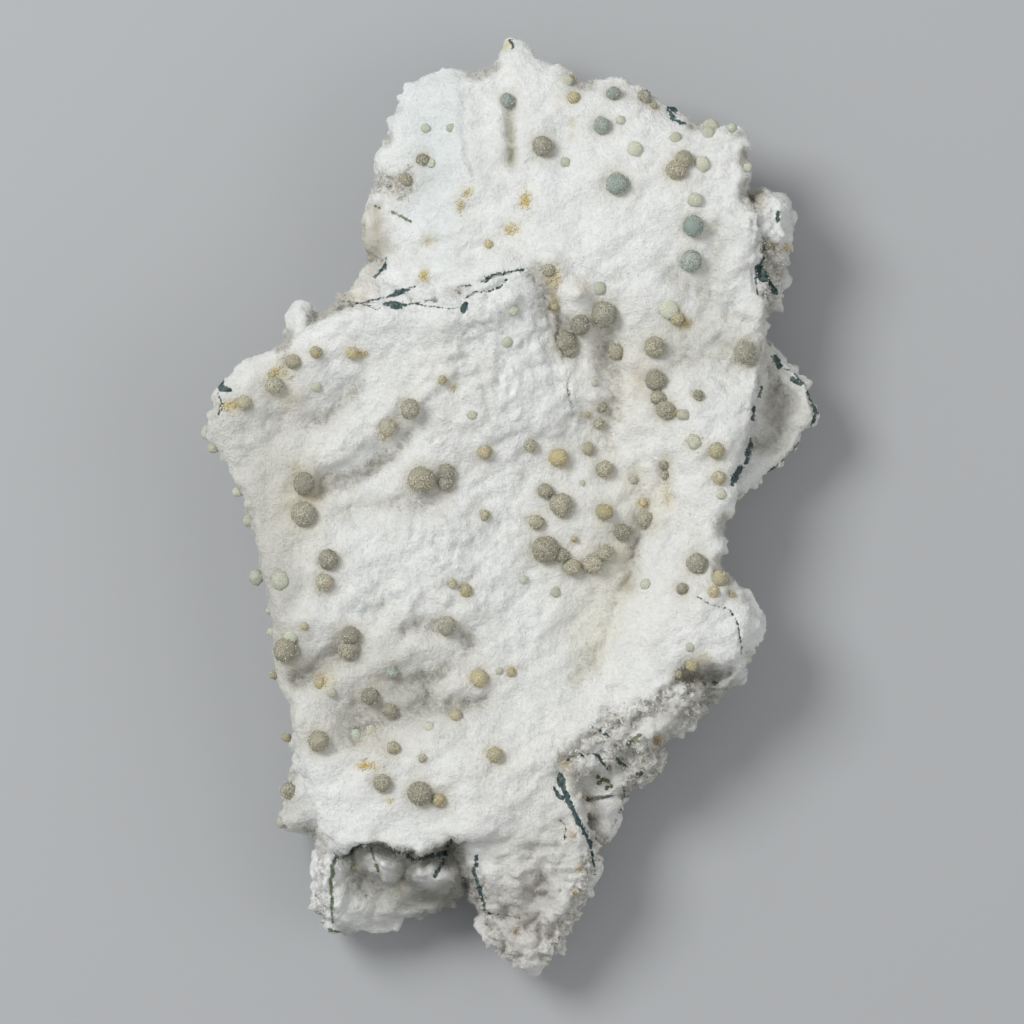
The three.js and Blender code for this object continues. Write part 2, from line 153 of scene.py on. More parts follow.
# %% Colours and new materials
def shown(red, green, blue):
    """The linear colour that a picture shows as these numbers."""
    parts = [value / 255 for value in (red, green, blue)]
    return tuple(p / 12.92 if p <= 0.04045 else ((p + 0.055) / 1.055) ** 2.4 for p in parts)


def opaque(colour):
    """A shown colour as the four numbers that a socket holds."""
    return (*shown(*colour), 1)


def new_material(name, settings):
    """A material, its node tree and its shader, with these sockets of the shader set."""
    material = bpy.data.materials.new(name)
    material.use_nodes = True
    shader = material.node_tree.nodes["Principled BSDF"]
    for socket, value in settings.items():
        shader.inputs[socket].default_value = value
    return material, material.node_tree, shader


# %% Shader nodes
def add_node(tree, kind, **values):
    """Adds a node. A value for an input is set there, or linked to it if it is another node's output. The
    other values set the node's own options."""
    node = tree.nodes.new(kind)
    for name, value in values.items():
        if isinstance(value, bpy.types.NodeSocket):
            tree.links.new(value, node.inputs[name])
        elif name in node.inputs:
            node.inputs[name].default_value = value
        else:
            setattr(node, name, value)
    return node


def stored(tree, name, output="Fac"):
    """What a mesh stores at its points under this name: a number, or a colour from the Color output."""
    return add_node(tree, "ShaderNodeAttribute", attribute_name=name).outputs[output]


def noise_node(tree, size, detail, roughness=0.5):
    """Noise on the object's own coordinates. Its largest hills are about one size across."""
    place = add_node(tree, "ShaderNodeTexCoord").outputs["Object"]
    noise = add_node(
        tree, "ShaderNodeTexNoise", Vector=place, Scale=1 / size, Detail=detail, Roughness=roughness)
    return noise.outputs["Fac"]


def spread(tree, value, low, high, to_low, to_high):
    """Turns low into to_low and high into to_high, and lets nothing go beyond them."""
    limits = {"From Min": low, "From Max": high, "To Min": to_low, "To Max": to_high}
    return add_node(tree, "ShaderNodeMapRange", Value=value, **limits).outputs["Result"]


def calculated(tree, operation, first, second, clamped=False):
    """The sum, difference or product of two outputs."""
    node = add_node(tree, "ShaderNodeMath", operation=operation, use_clamp=clamped)
    tree.links.new(first, node.inputs[0])
    tree.links.new(second, node.inputs[1])
    return node.outputs["Value"]


def scaled(tree, colour, factor):
    """A colour made lighter or darker by a factor."""
    node = add_node(tree, "ShaderNodeVectorMath", operation="SCALE", Scale=factor)
    tree.links.new(colour, node.inputs[0])
    return node.outputs["Vector"]


def mixed(tree, share, first, second, kind="RGBA"):
    """The first value or colour where the share is 0, and the second where it is 1."""
    node = add_node(tree, "ShaderNodeMix", data_type=kind, Factor=share, A=first, B=second)
    return node.outputs["Result"]


def bumped(tree, height, strength, distance, **below):
    """Normals tilted as if the surface had this height. Below can be the normals of a finer bump."""
    node = add_node(
        tree, "ShaderNodeBump", Height=height, Strength=strength, Distance=distance, **below)
    return node.outputs["Normal"]


# %% [markdown]
# ## Floor
#
# The slab lies on a plain pale floor. The floor is a disc so wide that its edge is far outside the
# picture, and it is marked as stage, which keeps it out of the finished part.

# %% Floor
FLOOR_RADIUS = 9.0             # in metres
FLOOR_EDGES = 96
FLOOR_COLOUR = (176, 178, 180)

floor_bm = bmesh.new()
bmesh.ops.create_circle(floor_bm, cap_ends=True, radius=FLOOR_RADIUS, segments=FLOOR_EDGES)
floor_mesh = bpy.data.meshes.new("floor")
floor_bm.to_mesh(floor_mesh)
floor_bm.free()
floor = bpy.data.objects.new("floor", floor_mesh)
bpy.context.scene.collection.objects.link(floor)
floor_material, _, _ = new_material("pale_floor", {"Base Color": opaque(FLOOR_COLOUR), "Roughness": 0.9})
floor_mesh.materials.append(floor_material)
floor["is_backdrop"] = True
print("floor:", 2 * FLOOR_RADIUS, "m wide")

# %% [markdown]
# ## The crust: an even mesh to sculpt
#
# The CAD slab is made of facets several millimetres wide. A sculpted surface needs small, even faces, so
# a copy of the slab is merged and voxel remeshed, which lays a fine even skin over it. The gyrolite balls
# are part of the CAD slab and will be separate pieces here, so their bumps are pressed flat first.

# %% Balls, by tint: (x, y, diameter) in mm on the face
BROWN_BALLS = [
    (6, 72.4, 4), (34.1, 69.7, 3.6), (32.6, 67.7, 4), (26.4, 82.4, 2.8), (-17.8, 69.8, 2.4),
    (-21.2, 65.6, 2.6),
    (-20.2, 20, 4), (-18, 6, 5.4), (-13, 7.6, 3.4), (-13.2, 5.4, 3.2), (-41.2, 5.2, 4.4),
    (-36.4, -9.8, 4), (-13, -23, 3.8), (-32, -25, 3.8), (-32.4, -27.6, 4.2), (-45, -27.8, 5),
    (-28.2, -37, 3.6), (-24.4, -39.8, 2.7), (-38.4, -45.8, 4.4), (-25.8, -54.2, 3.6),
    (-18.4, -56.2, 4.8), (18.4, 38.8, 5), (13.6, 36.8, 4), (10.8, 33.6, 4), (11.4, 32, 3.2),
    (20.6, 31.6, 3), (28.4, 32.4, 4.4), (46.4, 31.4, 4.6), (28.6, 25.8, 4), (29, 22.4, 3),
    (30.4, 20, 3.8), (37, 22.8, 2.2), (18, 20.4, 2), (17.4, 17.2, 2.2), (18.4, 8.2, 3.6),
    (6.6, 3.8, 3), (9.8, 1, 4.8), (4.8, -2.4, 3), (26.4, -1.8, 3.6), (22, -4.4, 3.6),
    (6.6, -7.8, 5.4), (9.8, -9, 3), (12, -11.4, 3.6), (16.2, -10.8, 4), (18.6, -8.6, 3.4),
    (-41.4, -0.8, 4.6), (36.8, -10.6, 4), (33.8, -15.6, 2.4), (30.2, 9, 1.8), (30.4, 7, 1.8),
]
BLUE_BALLS = [
    (-1, 81.6, 3), (17.8, 76.6, 3.4), (20.2, 83, 3), (20.8, 64.8, 4.4), (36, 56.4, 4.4),
    (35.6, 49.4, 4.2), (-23.8, -32.2, 2.4),
]
GOLD_BALLS = [
    (12.2, 82.2, 2.4), (-4.6, 52.8, 1.6), (7.2, 47.6, 2.4), (8.4, 40.4, 1.6), (-43.4, 29.4, 3),
    (-38.8, 31.2, 2.4), (-31.6, 31, 2.6), (-47, 24.6, 3.6), (-53, 21.2, 2.8), (-24.6, 16.4, 3.4),
    (-13.8, 25.8, 1.8), (-5.4, 11.4, 2.8), (-5.4, -1, 2), (-37.2, -14.2, 3.4), (-11.8, -14.6, 1.8),
    (-9.2, -16, 2.6), (-41.2, -23, 1.4), (-6.6, -33.4, 3.6), (-0.2, -32.2, 1.8),
    (-38.2, -34.4, 2.2), (-11.2, -40.8, 2.4), (-23.6, -47.2, 2.6), (-17.8, -49.2, 1.6),
    (-3.4, -48.6, 3.4), (-14.6, -57.6, 2.8), (-31.6, -71.2, 1.4), (32.8, 38.2, 2.8),
    (32, 19.4, 1.6), (15, 19, 1.2), (3.8, 12.8, 2.6), (9.2, 10.4, 3.8), (15.2, 12.2, 2.6),
    (18.4, -0.4, 3.4), (24.2, 6, 1.6), (26.2, 1.4, 1.4), (40.6, 11.8, 3.2),
    (41.2, 6.4, 2.8), (12.4, -5.8, 1.2), (41.2, -13.6, 3.2), (40, -16.2, 2.2), (43.8, -16.8, 1.2),
    (28.2, 80.6, 1.6), (35.8, -30.8, 2.6), (33, -32.6, 1.8),
]
PALE_BALLS = [
    (10.8, 85.6, 2.6), (24.4, 71.8, 3.2), (10.6, 69.2, 2), (-16.2, 69, 2), (-17.2, 76, 2),
    (-12.2, 76, 1.8), (0.2, 39.6, 2.2), (-1, 33.4, 2.2), (-38.8, 24.4, 2), (-8, 18.8, 2),
    (-46, -14, 3.6), (-44, -25.2, 2.8), (-2.6, -32, 1.6), (-35.8, -36.2, 1.8), (-31.2, -44.8, 2.6),
    (-28, -43.8, 2.4), (-16.4, -43, 2), (17.4, 44, 2.8), (31.2, 40, 3.8), (34, 19, 2.4),
    (16.4, 25.2, 1.4), (41.6, 3.2, 2), (14, 5.4, 1.2), (26.6, -14.8, 2.2), (2.2, -13.8, 1.8),
    (8.6, -16.4, 2), (37.8, 68.8, 3.2), (36.4, 61.6, 3), (39.6, 76.4, 3.2), (39, 75, 2.8),
    (21.6, 77.6, 1.8), (32.6, 74, 2.4), (35.4, -27.2, 1.8), (36.2, 13.6, 3),
]
FACE_BALLS = BROWN_BALLS + BLUE_BALLS + GOLD_BALLS + PALE_BALLS
print(len(FACE_BALLS), "balls on the face")

# %% Read and write a mesh as arrays of millimetres
def points_of(mesh):
    points = np.empty(len(mesh.vertices) * 3, np.float32)
    mesh.vertices.foreach_get("co", points)
    return points.reshape(-1, 3).astype(float) / MM


def normals_of(mesh):
    normals = np.empty(len(mesh.vertices) * 3, np.float32)
    mesh.vertex_normals.foreach_get("vector", normals)
    return normals.reshape(-1, 3).astype(float)


def move_points(mesh, points):
    mesh.vertices.foreach_set("co", (points * MM).astype(np.float32).ravel())
    mesh.update()


def with_modifier(obj, kind, **settings):
    """Adds a modifier, sets it and applies it to the mesh."""
    modifier = obj.modifiers.new(kind.lower(), kind)
    for name, value in settings.items():
        setattr(modifier, name, value)
    made = bpy.data.meshes.new_from_object(obj.evaluated_get(bpy.context.evaluated_depsgraph_get()))
    obj.modifiers.clear()
    obj.data = made


# %% Copy the slab and lay an even skin over it
FIRST_SKIN = 0.8 * MM          # the voxel size before the bumps are pressed flat, and after
FINE_SKIN = 0.6 * MM
SAME_PLACE = 0.001 * MM        # corners closer than this are one corner

crust_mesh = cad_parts["okenite_specimen"].data.copy()
crust_mesh.materials.clear()
merged = bmesh.new()
merged.from_mesh(crust_mesh)
bmesh.ops.remove_doubles(merged, verts=merged.verts, dist=SAME_PLACE)
merged.to_mesh(crust_mesh)
merged.free()
crust = bpy.data.objects.new("okenite_crust", crust_mesh)
bpy.context.scene.collection.objects.link(crust)
with_modifier(crust, "REMESH", mode="VOXEL", voxel_size=FIRST_SKIN)
print("first skin:", len(crust.data.polygons), "faces")

# %% Find the surface from above
RAY_START = 200                # in mm, well above the slab


def surface_of(obj):
    """A search tree for rays against the object's mesh."""
    tree = bmesh.new()
    tree.from_mesh(obj.data)
    found = BVHTree.FromBMesh(tree)
    tree.free()
    return found


def height_at(surface, x, y):
    """The height of the surface at this place, or None beside it."""
    hit = surface.ray_cast(Vector((x * MM, y * MM, RAY_START * MM)), Vector((0, 0, -1)))[0]
    return hit.z / MM if hit else None


# %% Press the ball bumps flat
RING_POINTS = 14
RING_REACH = 1.55              # the ring's radius and the pressed place's, in radii of the ball
PRESS_REACH = 1.25
RING_STEP = 0.35               # ring points this many radii above the middle one belong to a neighbour
BUMP_HEIGHT = 2                # nothing higher above the plane than this many diameters is a ball's bump


def press_flat(points, surface, x, y, diameter):
    """Lowers what stands above the crust round a ball onto a plane through a ring beside it."""
    radius = diameter / 2
    ring = []
    for turn in np.linspace(0, 2 * math.pi, RING_POINTS, endpoint=False):
        rx = x + RING_REACH * radius * math.cos(turn)
        ry = y + RING_REACH * radius * math.sin(turn)
        height = height_at(surface, rx, ry)
        if height is not None:
            ring.append((rx - x, ry - y, height))
    if len(ring) < RING_POINTS / 2:
        return
    ring = np.array(ring)
    ring = ring[ring[:, 2] <= np.median(ring[:, 2]) + RING_STEP * radius]
    plane = np.linalg.lstsq(np.c_[ring[:, :2], np.ones(len(ring))], ring[:, 2], rcond=None)[0]
    offset = points[:, :2] - (x, y)
    level = offset @ plane[:2] + plane[2]
    above = points[:, 2] - level
    near = (np.hypot(*offset.T) < PRESS_REACH * radius) & (above > 0) & (above < BUMP_HEIGHT * diameter)
    points[near, 2] = level[near]


surface = surface_of(crust)
points = points_of(crust.data)
for x, y, diameter in FACE_BALLS:
    press_flat(points, surface, x, y, diameter)
move_points(crust.data, points)
with_modifier(crust, "REMESH", mode="VOXEL", voxel_size=FINE_SKIN)
with_modifier(crust, "SMOOTH", factor=0.5, iterations=6)
print("fine skin:", len(crust.data.polygons), "faces")

# %% [markdown]
# ## The crust: noise that can be sculpted with
#
# Matted needles form soft lumps of several sizes, and all of them can be built from one smooth random
# function. Blender has such noise in its textures and modifiers, but an array version lets the same few
# lines shape the mesh, mask a colour and ruffle an edge, and gives the same result on each run.

# %% Smooth noise on arrays of points
NOISE_CELLS = 256
SEED_SHIFT = 17.37             # each seed reads the same noise from another place
NOISE_GAIN = 1.8
LUMP_GAIN = 1.4

dice = np.random.default_rng(7)
noise_order = dice.permutation(NOISE_CELLS)
noise_slopes = dice.normal(size=(NOISE_CELLS, 3))
noise_slopes /= np.linalg.norm(noise_slopes, axis=1)[:, None]


def soft_noise(points, size, seed=0.0):
    """Smooth noise from about -1 to 1. Its hills are about one size across."""
    place = points / size + SEED_SHIFT * seed
    cell = np.floor(place).astype(int)
    part = place - cell
    ease = part**3 * (part * (part * 6 - 15) + 10)
    total = np.zeros(len(points))
    for corner in itertools.product((0, 1), repeat=3):
        x, y, z = (cell + corner).T % NOISE_CELLS
        pick = noise_order[(noise_order[(noise_order[x] + y) % NOISE_CELLS] + z) % NOISE_CELLS]
        weight = np.prod(np.where(np.array(corner, bool), ease, 1 - ease), axis=1)
        total += weight * (noise_slopes[pick] * (part - corner)).sum(axis=1)
    return NOISE_GAIN * total


def lumpy(points, size, seed=0.0):
    """Rounded lumps with creases between them, from 0 in a crease to about 1."""
    return np.abs(soft_noise(points, size, seed)) * LUMP_GAIN


def wobble(points, size, seed):
    """Two values of noise at each point. Added to its x and y, they fray what is drawn there."""
    return np.c_[soft_noise(points, size, seed), soft_noise(points, size, seed + 1)]


print("noise from", NOISE_CELLS, "random slopes")


# %% Steps, lines and spots with soft edges
def smoothstep(low, high, values):
    """0 up to low, 1 from high on, and a soft rise between them."""
    part = np.clip((values - low) / (high - low), 0, 1)
    return part * part * (3 - 2 * part)


def line_distance(xy, line):
    """How far each point is from a line through the given places, in mm."""
    line = np.array(line, float)
    if len(line) == 1:
        return np.hypot(*(xy - line[0]).T)
    nearest = np.full(len(xy), np.inf)
    for start, end in zip(line[:-1], line[1:]):
        step = end - start
        along = np.clip(((xy - start) @ step) / (step @ step), 0, 1)
        nearest = np.minimum(nearest, np.hypot(*(xy - start - along[:, None] * step).T))
    return nearest


def soft_spot(xy, x, y, reach_x, reach_y):
    """1 at the spot's centre, falling softly to 0 all round."""
    return np.exp(-(((xy[:, 0] - x) / reach_x) ** 2) - ((xy[:, 1] - y) / reach_y) ** 2)


def spots_at(xy, spots):
    """The sum of soft spots, each with x, y, reach along x and y, and strength."""
    return sum(strength * soft_spot(xy, *spot) for *spot, strength in spots)


# %% [markdown]
# ## The crust: ridges and furrows
#
# The face has a grain: its ridges run from lower left to upper right, and furrows lie between them. They
# could be sculpted by hand with a brush. Here each one is a short line with a width and a rise, and
# raises or sinks the mesh as a soft hill or hollow, so that it can be read, moved and made again.

# %% Ridges and furrows: places on the face, width and rise, all in mm
RELIEF = [
    # front plate, from its crest down
    ([(-45, 17), (-38, 18), (-31, 23)], 3.4, -1.4),
    ([(-39, 7.8), (-31, 12.4), (-23, 18), (-13, 27)], 2.2, 1.5),
    ([(-37, 5.4), (-30, 6.4), (-25, 9.4), (-20.6, 14.4)], 2.6, -2.1),
    ([(-33, -1), (-25, 0.6), (-17, 1.6)], 2.6, -1.2),
    ([(-36, -19), (-27, -20.5), (-24, -18)], 1.6, -1.2),
    ([(-41, -22), (-34, -20.5)], 2.0, 0.6),
    ([(-42, -33.4), (-38, -31.4), (-34, -28.4)], 2.2, -2.6),
    ([(-21.4, -24.6), (-18, -23), (-15, -22.8)], 1.7, -1.7),
    ([(-10.4, -24), (-8.4, -26.5)], 1.5, -1.7),
    ([(-31, -44), (-25.6, -42), (-20.4, -40.4), (-16.4, -38.4)], 2.8, -3.0),
    ([(-17, -35.6), (-13.6, -32.6)], 2.0, -1.4),
    ([(-23, -34.6), (-18, -34)], 1.8, -1.2),
    ([(-12.4, -35.2), (-12, -35.2)], 2.6, 1.4),
    ([(-12, -39), (-6, -37.8)], 1.7, -1.8),
    ([(-20, 21), (-14, 26), (-6, 31)], 3.2, 1.6),
    ([(-13, -8), (-9.6, -7)], 1.2, -0.7),
    ([(-9, -15), (-5.4, -12.6)], 1.2, -0.7),
    ([(-30, -46), (-22, -44)], 2.4, -0.6),
    ([(-27, -30), (-18, -28)], 2.2, 0.6),
    ([(9, 14), (3, 14.6)], 1.4, -0.7),
    # crest band, with the crack that runs under it
    ([(-40, 37), (-32, 41), (-23, 41.4), (-12, 40), (-8, 42), (-2, 44.6), (2, 47.6)], 0.8, -0.6),
    ([(-33, 38.4), (-22, 38), (-10, 37.6), (0, 42)], 1.6, 0.6),
    ([(-34, 43.4), (-24, 42.8), (-17, 43.2), (-12, 45), (-7.5, 46.8), (-3, 48.8), (2, 49.2)], 2.2, 5.0),
    # upper plate: a deep groove below one ball, and upright folds like those of a cloth
    ([(-0.6, 80), (-0.4, 75), (0, 69.4)], 1.1, -1.2),
    ([(-17, 88), (-17, 76), (-15, 62)], 4.0, -0.5),
    ([(-12.6, 89), (-11.6, 80), (-10.4, 73), (-9, 66)], 1.0, 1.0),
    ([(-3.2, 82), (-3, 72)], 1.6, 0.6),
    ([(3, 80), (3.6, 71)], 1.6, 0.5),
    ([(9, 78), (9.6, 68)], 2.4, -0.6),
    ([(-26, 51.4), (-14, 53), (-6, 49.6), (0, 50)], 1.2, -0.6),
    # the dips and banks beside the trough
    ([(17.6, 34), (20, 28)], 2.6, -1.0),
    ([(26.2, -2.4), (24.2, -12), (22.6, -15.5), (20.4, -20.4), (17.6, -28), (16.4, -31)], 0.9, -1.0),
    ([(30, 8), (29, 4), (27, 0)], 1.2, -0.8),
    ([(30, -2), (27, -12), (23, -24), (19, -33)], 2.2, 1.0),
    ([(25, 26), (37, 28), (45, 27), (50, 32)], 2.0, -1.0),
    ([(33, 31.6), (38, 30.4), (42, 31.6)], 3.0, -1.4),
    ([(32, 46), (38, 43), (46, 38)], 2.2, -1.4),
    ([(40, 56), (40.6, 50), (39, 45)], 2.6, -1.0),
    ([(46, 57), (46.4, 50)], 3.0, 1.2),
    ([(40, 62), (46, 60)], 2.0, -0.6),
    # leg and lower edge
    ([(12, -42), (4, -50), (-2, -60)], 3.0, 0.5),
    ([(5, -68), (6.4, -73), (4, -78.4)], 2.4, -2.2),
    ([(-1, -80.4), (3, -82), (7, -85)], 2.0, -2.8),
    ([(9, -68), (11, -75)], 1.2, -1.2),
    ([(8.6, -63), (9.4, -66)], 1.6, -1.0),
    ([(0.4, -73), (1, -73.4)], 2.2, 1.8),
    ([(-4.8, -73.2), (-4.6, -73.8)], 1.8, 1.0),
    ([(5.6, -70), (6, -70.6)], 2.0, 1.2),
    ([(-2.4, -77.6), (-1.8, -78.4)], 1.6, -1.4),
    # where the right edge of the plates stands over the rear bowl and the rear lump
    ([(52.8, 36), (52, 28), (50.6, 20), (48.4, 12)], 1.2, -0.8),
    ([(50.2, 52), (51.4, 45)], 1.0, -1.0),
    ([(50.2, 61), (50.6, 55)], 2.6, 6.0),
    ([(50, 26), (50, 17)], 2.6, 3.5),
    ([(53.8, 60.4), (53.4, 54.6)], 3.2, 8.0),
    ([(52.8, 50), (53, 42)], 2.4, 4.0),
    ([(54, 34), (57.4, 28.4)], 1.4, 2.0),
    ([(12.6, 42), (14, 33), (14.4, 23)], 3.6, 4.4),
    ([(7.6, 48.6), (10.6, 42.6)], 2.8, 4.4),
    ([(3.4, 45.6), (5.6, 41), (7.6, 34), (9.4, 27), (9.8, 20)], 1.8, -1.5),
    # lower left lobe: a left ridge, two knobs under the arc, and a scooped shelf below them
    ([(-37.4, -70), (-37.8, -82)], 2.0, 1.2),
    ([(-32, -69), (-31, -74)], 1.6, -1.8),
    ([(-28.2, -69.4), (-25, -70.8)], 2.9, 7.0),
    ([(-18, -71.6), (-11.8, -72.8)], 2.8, 6.4),
    ([(-22, -78.4), (-11, -78)], 2.0, -1.6),
    ([(-31, -79), (-26, -80.4)], 2.0, 0.9),
    # broken lower right edge: the cavity, the shell below it, and the hollow under the bright block
    ([(14, -54), (18, -54.6)], 3.0, -1.0),
    ([(16.4, -58.2), (20.6, -56.4)], 0.9, 0.9),
    ([(35, -32.4), (39, -33.6), (43, -33)], 2.0, -4.4),
    ([(18.6, -58.6), (18.4, -65)], 3.4, 3.6),
    ([(27, -41), (31, -40)], 1.6, -1.0),
]

RELIEF_BEND = 0.9              # how far the lines wander, in mm


def relief_at(points):
    """How far the ridges and furrows raise the crust at these points, in mm."""
    bent = points[:, :2] + RELIEF_BEND * wobble(points, 5, 43)
    return sum(rise * np.exp(-((line_distance(bent, line) / width) ** 2)) for line, width, rise in RELIEF)


print(len(RELIEF), "ridges and furrows")

# %% [markdown]
# ## The crust: veins
#
# Celadonite lines the cracks of the crust and shows as thin dark lines and small patches. A texture could
# paint them, but they also lie in grooves. So each vein is a line with a width at each place, and one
# function says how far any point is from the nearest one. The mesh sinks by it here, and the shader
# colours by it later.

# %% Cracks and veins of celadonite: depth in mm, then x, y and half width at each place
VEINS = [
    # main vein down the right side of the leg
    (0.5, [(9.4, -52.4, 0.4), (9.8, -54, 0.7), (10.4, -56, 0.7), (11.2, -58, 0.5), (12.4, -60, 0.4),
           (13.2, -62, 0.5), (14.2, -63.6, 0.45), (15.2, -65.6, 0.3), (16, -68, 0.22), (16.6, -72.8, 0.1)]),
    (0.3, [(8.4, -55, 0.1), (8.9, -56.6, 0.35), (10, -57.6, 0.3)]),
    (0.4, [(9.8, -61.8, 0.1), (10.6, -63.6, 0.35), (10.4, -65.4, 0.15)]),
    (0.6, [(11, -49.8, 0.05), (15.4, -48.4, 0.1), (17.2, -48.8, 0.25), (18, -50.4, 0.25),
    (19.4, -52, 0.1)]),
    (0.3, [(22.2, -55.2, 0.08), (22.8, -59.2, 0.08)]),
    (0.3, [(22, -60, 0.08), (20, -63.6, 0.08)]),
    # left side of the leg
    (0.4, [(-7.2, -68.8, 0.2), (-7.6, -72, 0.35), (-6.8, -74.8, 0.4), (-5.8, -78, 0.25),
    (-5.5, -80.6, 0.15)]),
    (0.4, [(-5.5, -80.6, 0.15), (-2.4, -81, 0.12), (1.6, -81.4, 0.08)]),
    # the arc above the lower left lobe
    (0.8, [(-35.8, -68.2, 0.12), (-34.4, -69.5, 0.25), (-32.6, -69, 0.3), (-31.6, -67.4, 0.35),
           (-29.2, -66.4, 0.22), (-26.4, -66.4, 0.28), (-24, -67.4, 0.42), (-21.6, -68.4, 0.35),
           (-20, -70, 0.3), (-16.8, -69.4, 0.45), (-13.4, -68.8, 0.6), (-12.2, -66, 0.4)]),
    (0.4, [(-13.8, -70.2, 0.2), (-15.4, -73, 0.45)]),
    (0.3, [(-28.2, -67.4, 0.2), (-26.6, -72.2, 0.2)]),
    (0.4, [(-35.3, -69, 0.25), (-36, -74, 0.35), (-36, -80, 0.25), (-36, -83, 0.1)]),
    (0.1, [(-36.8, -84, 0.3), (-34.6, -84.8, 0.4)]),
    # broken lower right edge
    (0.4, [(23.2, -46.8, 0.4), (24.4, -45.6, 0.35), (25.6, -44.8, 0.2)]),
    (0.4, [(17.6, -44.2, 0.2), (18.6, -44.8, 0.5)]),
    (0.4, [(20.8, -49.4, 0.2), (21.8, -50.4, 0.45), (23.2, -51.4, 0.15)]),
    (0.3, [(25.2, -52.8, 0.3), (26, -52.8, 0.3)]),
    (0.2, [(38.2, -34.6, 0.4), (38.3, -34.7, 0.4)]),
    (0.2, [(40.4, -34.6, 0.35), (40.5, -34.7, 0.35)]),
    # crest of the front plate
    (0.3, [(-28.9, 41.2, 0.08), (-25, 42.2, 0.15), (-22.8, 43, 0.6), (-21.4, 43.6, 0.45),
    (-19.2, 44.4, 0.08)]),
    (0.3, [(-34.4, 41.4, 0.08), (-30.9, 41.2, 0.08), (-26.6, 39.6, 0.12), (-25.2, 40.8, 0.15)]),
    (0.3, [(-25.4, 40.9, 0.1), (-23.6, 40.6, 0.75), (-22, 40.5, 0.7), (-20, 40.8, 0.12),
    (-12.4, 39.8, 0.08),
           (-10.6, 40, 0.1)]),
    (0.3, [(-9.3, 41, 0.35), (-9.5, 40, 0.65), (-9.6, 39.2, 0.3)]),
    (0.3, [(-9.9, 41.5, 0.08), (-7.4, 43, 0.14), (-4.4, 43.4, 0.08), (-2.4, 44.2, 0.25),
    (-1.2, 45.5, 0.2)]),
    (0.3, [(-6.1, 45.1, 0.15), (-5, 45.8, 0.45), (-3.8, 46.6, 0.2), (0, 47.2, 0.08), (1.2, 47.5, 0.3),
           (3, 47.9, 0.08)]),
    (0.2, [(-10.9, 44.2, 0.08), (-9.6, 44.6, 0.15), (-8.4, 44.5, 0.1)]),
    (0.3, [(-25, 50.2, 0.1), (-25.4, 48.4, 0.35), (-27.4, 46.2, 0.12)]),
    (0.2, [(-32.6, 44, 0.25), (-33.2, 42.8, 0.2)]),
    # left tip
    (0.3, [(-58.4, 26, 0.4), (-57.4, 24.6, 1.0), (-55.8, 23.6, 0.3)]),
    (0.3, [(-58, 23, 0.3), (-57.4, 21, 0.25), (-58, 18.9, 0.2)]),
    (0.0, [(-52.6, 30.2, 0.2), (-49.6, 32, 0.35)]),
    # upper left, tip and upper right
    (0.3, [(-27.4, 60.6, 0.1), (-25, 59.6, 0.12), (-22.4, 58.6, 0.2), (-20, 57.4, 0.2)]),
    (0.0, [(-0.2, 93.8, 0.4), (0.2, 92.4, 0.3)]),
    (0.3, [(29.8, 82, 0.3), (31.2, 81, 0.85), (32.4, 80, 0.6)]),
    (0.3, [(31, 80, 0.3), (32.2, 78, 0.5), (34.4, 77, 0.3)]),
    # right side, around the rear lump and the rear bowl
    (0.8, [(50, 54.6, 0.15), (50.2, 50.4, 0.2), (49, 47.8, 0.3), (48.4, 45.8, 0.2), (49, 43, 0.15)]),
    (0.5, [(48.8, 48.6, 0.5), (49.8, 47.2, 1.2), (51, 45.6, 0.6)]),
    (0.2, [(52.8, 59, 0.5), (52.8, 57.6, 0.4)]),
    (0.3, [(51.6, 45.2, 0.5), (52.6, 43.6, 0.6)]),
    (0.2, [(52.6, 30.4, 0.5), (53.6, 28.6, 0.5)]),
    (0.2, [(56, 26.2, 0.4), (57.6, 25.4, 0.4)]),
    (0.1, [(53.6, 28.6, 0.1), (56.6, 27.2, 0.12), (59.4, 24, 0.1), (60.6, 20.6, 0.12), (60, 17.4, 0.1)]),
    (0.1, [(59.2, 23.4, 0.3), (61, 19.6, 0.4), (59.6, 16.2, 0.2), (55.4, 10.8, 0.15), (51.6, 7.6, 0.2)]),
    (0.3, [(49.8, 24.6, 0.35), (49.6, 22.8, 0.3)]),
    (0.3, [(48.4, 20.6, 0.4), (48.2, 18.4, 0.3)]),
    (0.3, [(47.9, 14.4, 0.3), (47.5, 11.6, 0.55), (46.8, 9.2, 0.3)]),
    (0.3, [(45.8, 8.6, 0.4), (44.6, 6.6, 0.75), (43.8, 5, 0.4)]),
    # the crack in the bright block
    (0.6, [(37, -17.4, 0.05), (39.4, -18.8, 0.1), (43.2, -19.8, 0.1), (44.2, -21, 0.12), (45, -23.2, 0.1),
           (45.6, -27.2, 0.1), (45.8, -29, 0.05)]),
]

# %% How far each point is from a vein
VEIN_BEND = 0.25               # how far the veins wander, in mm
VEIN_SWELL = 0.6               # how much their width varies
FAR_FROM_VEIN = 5.0


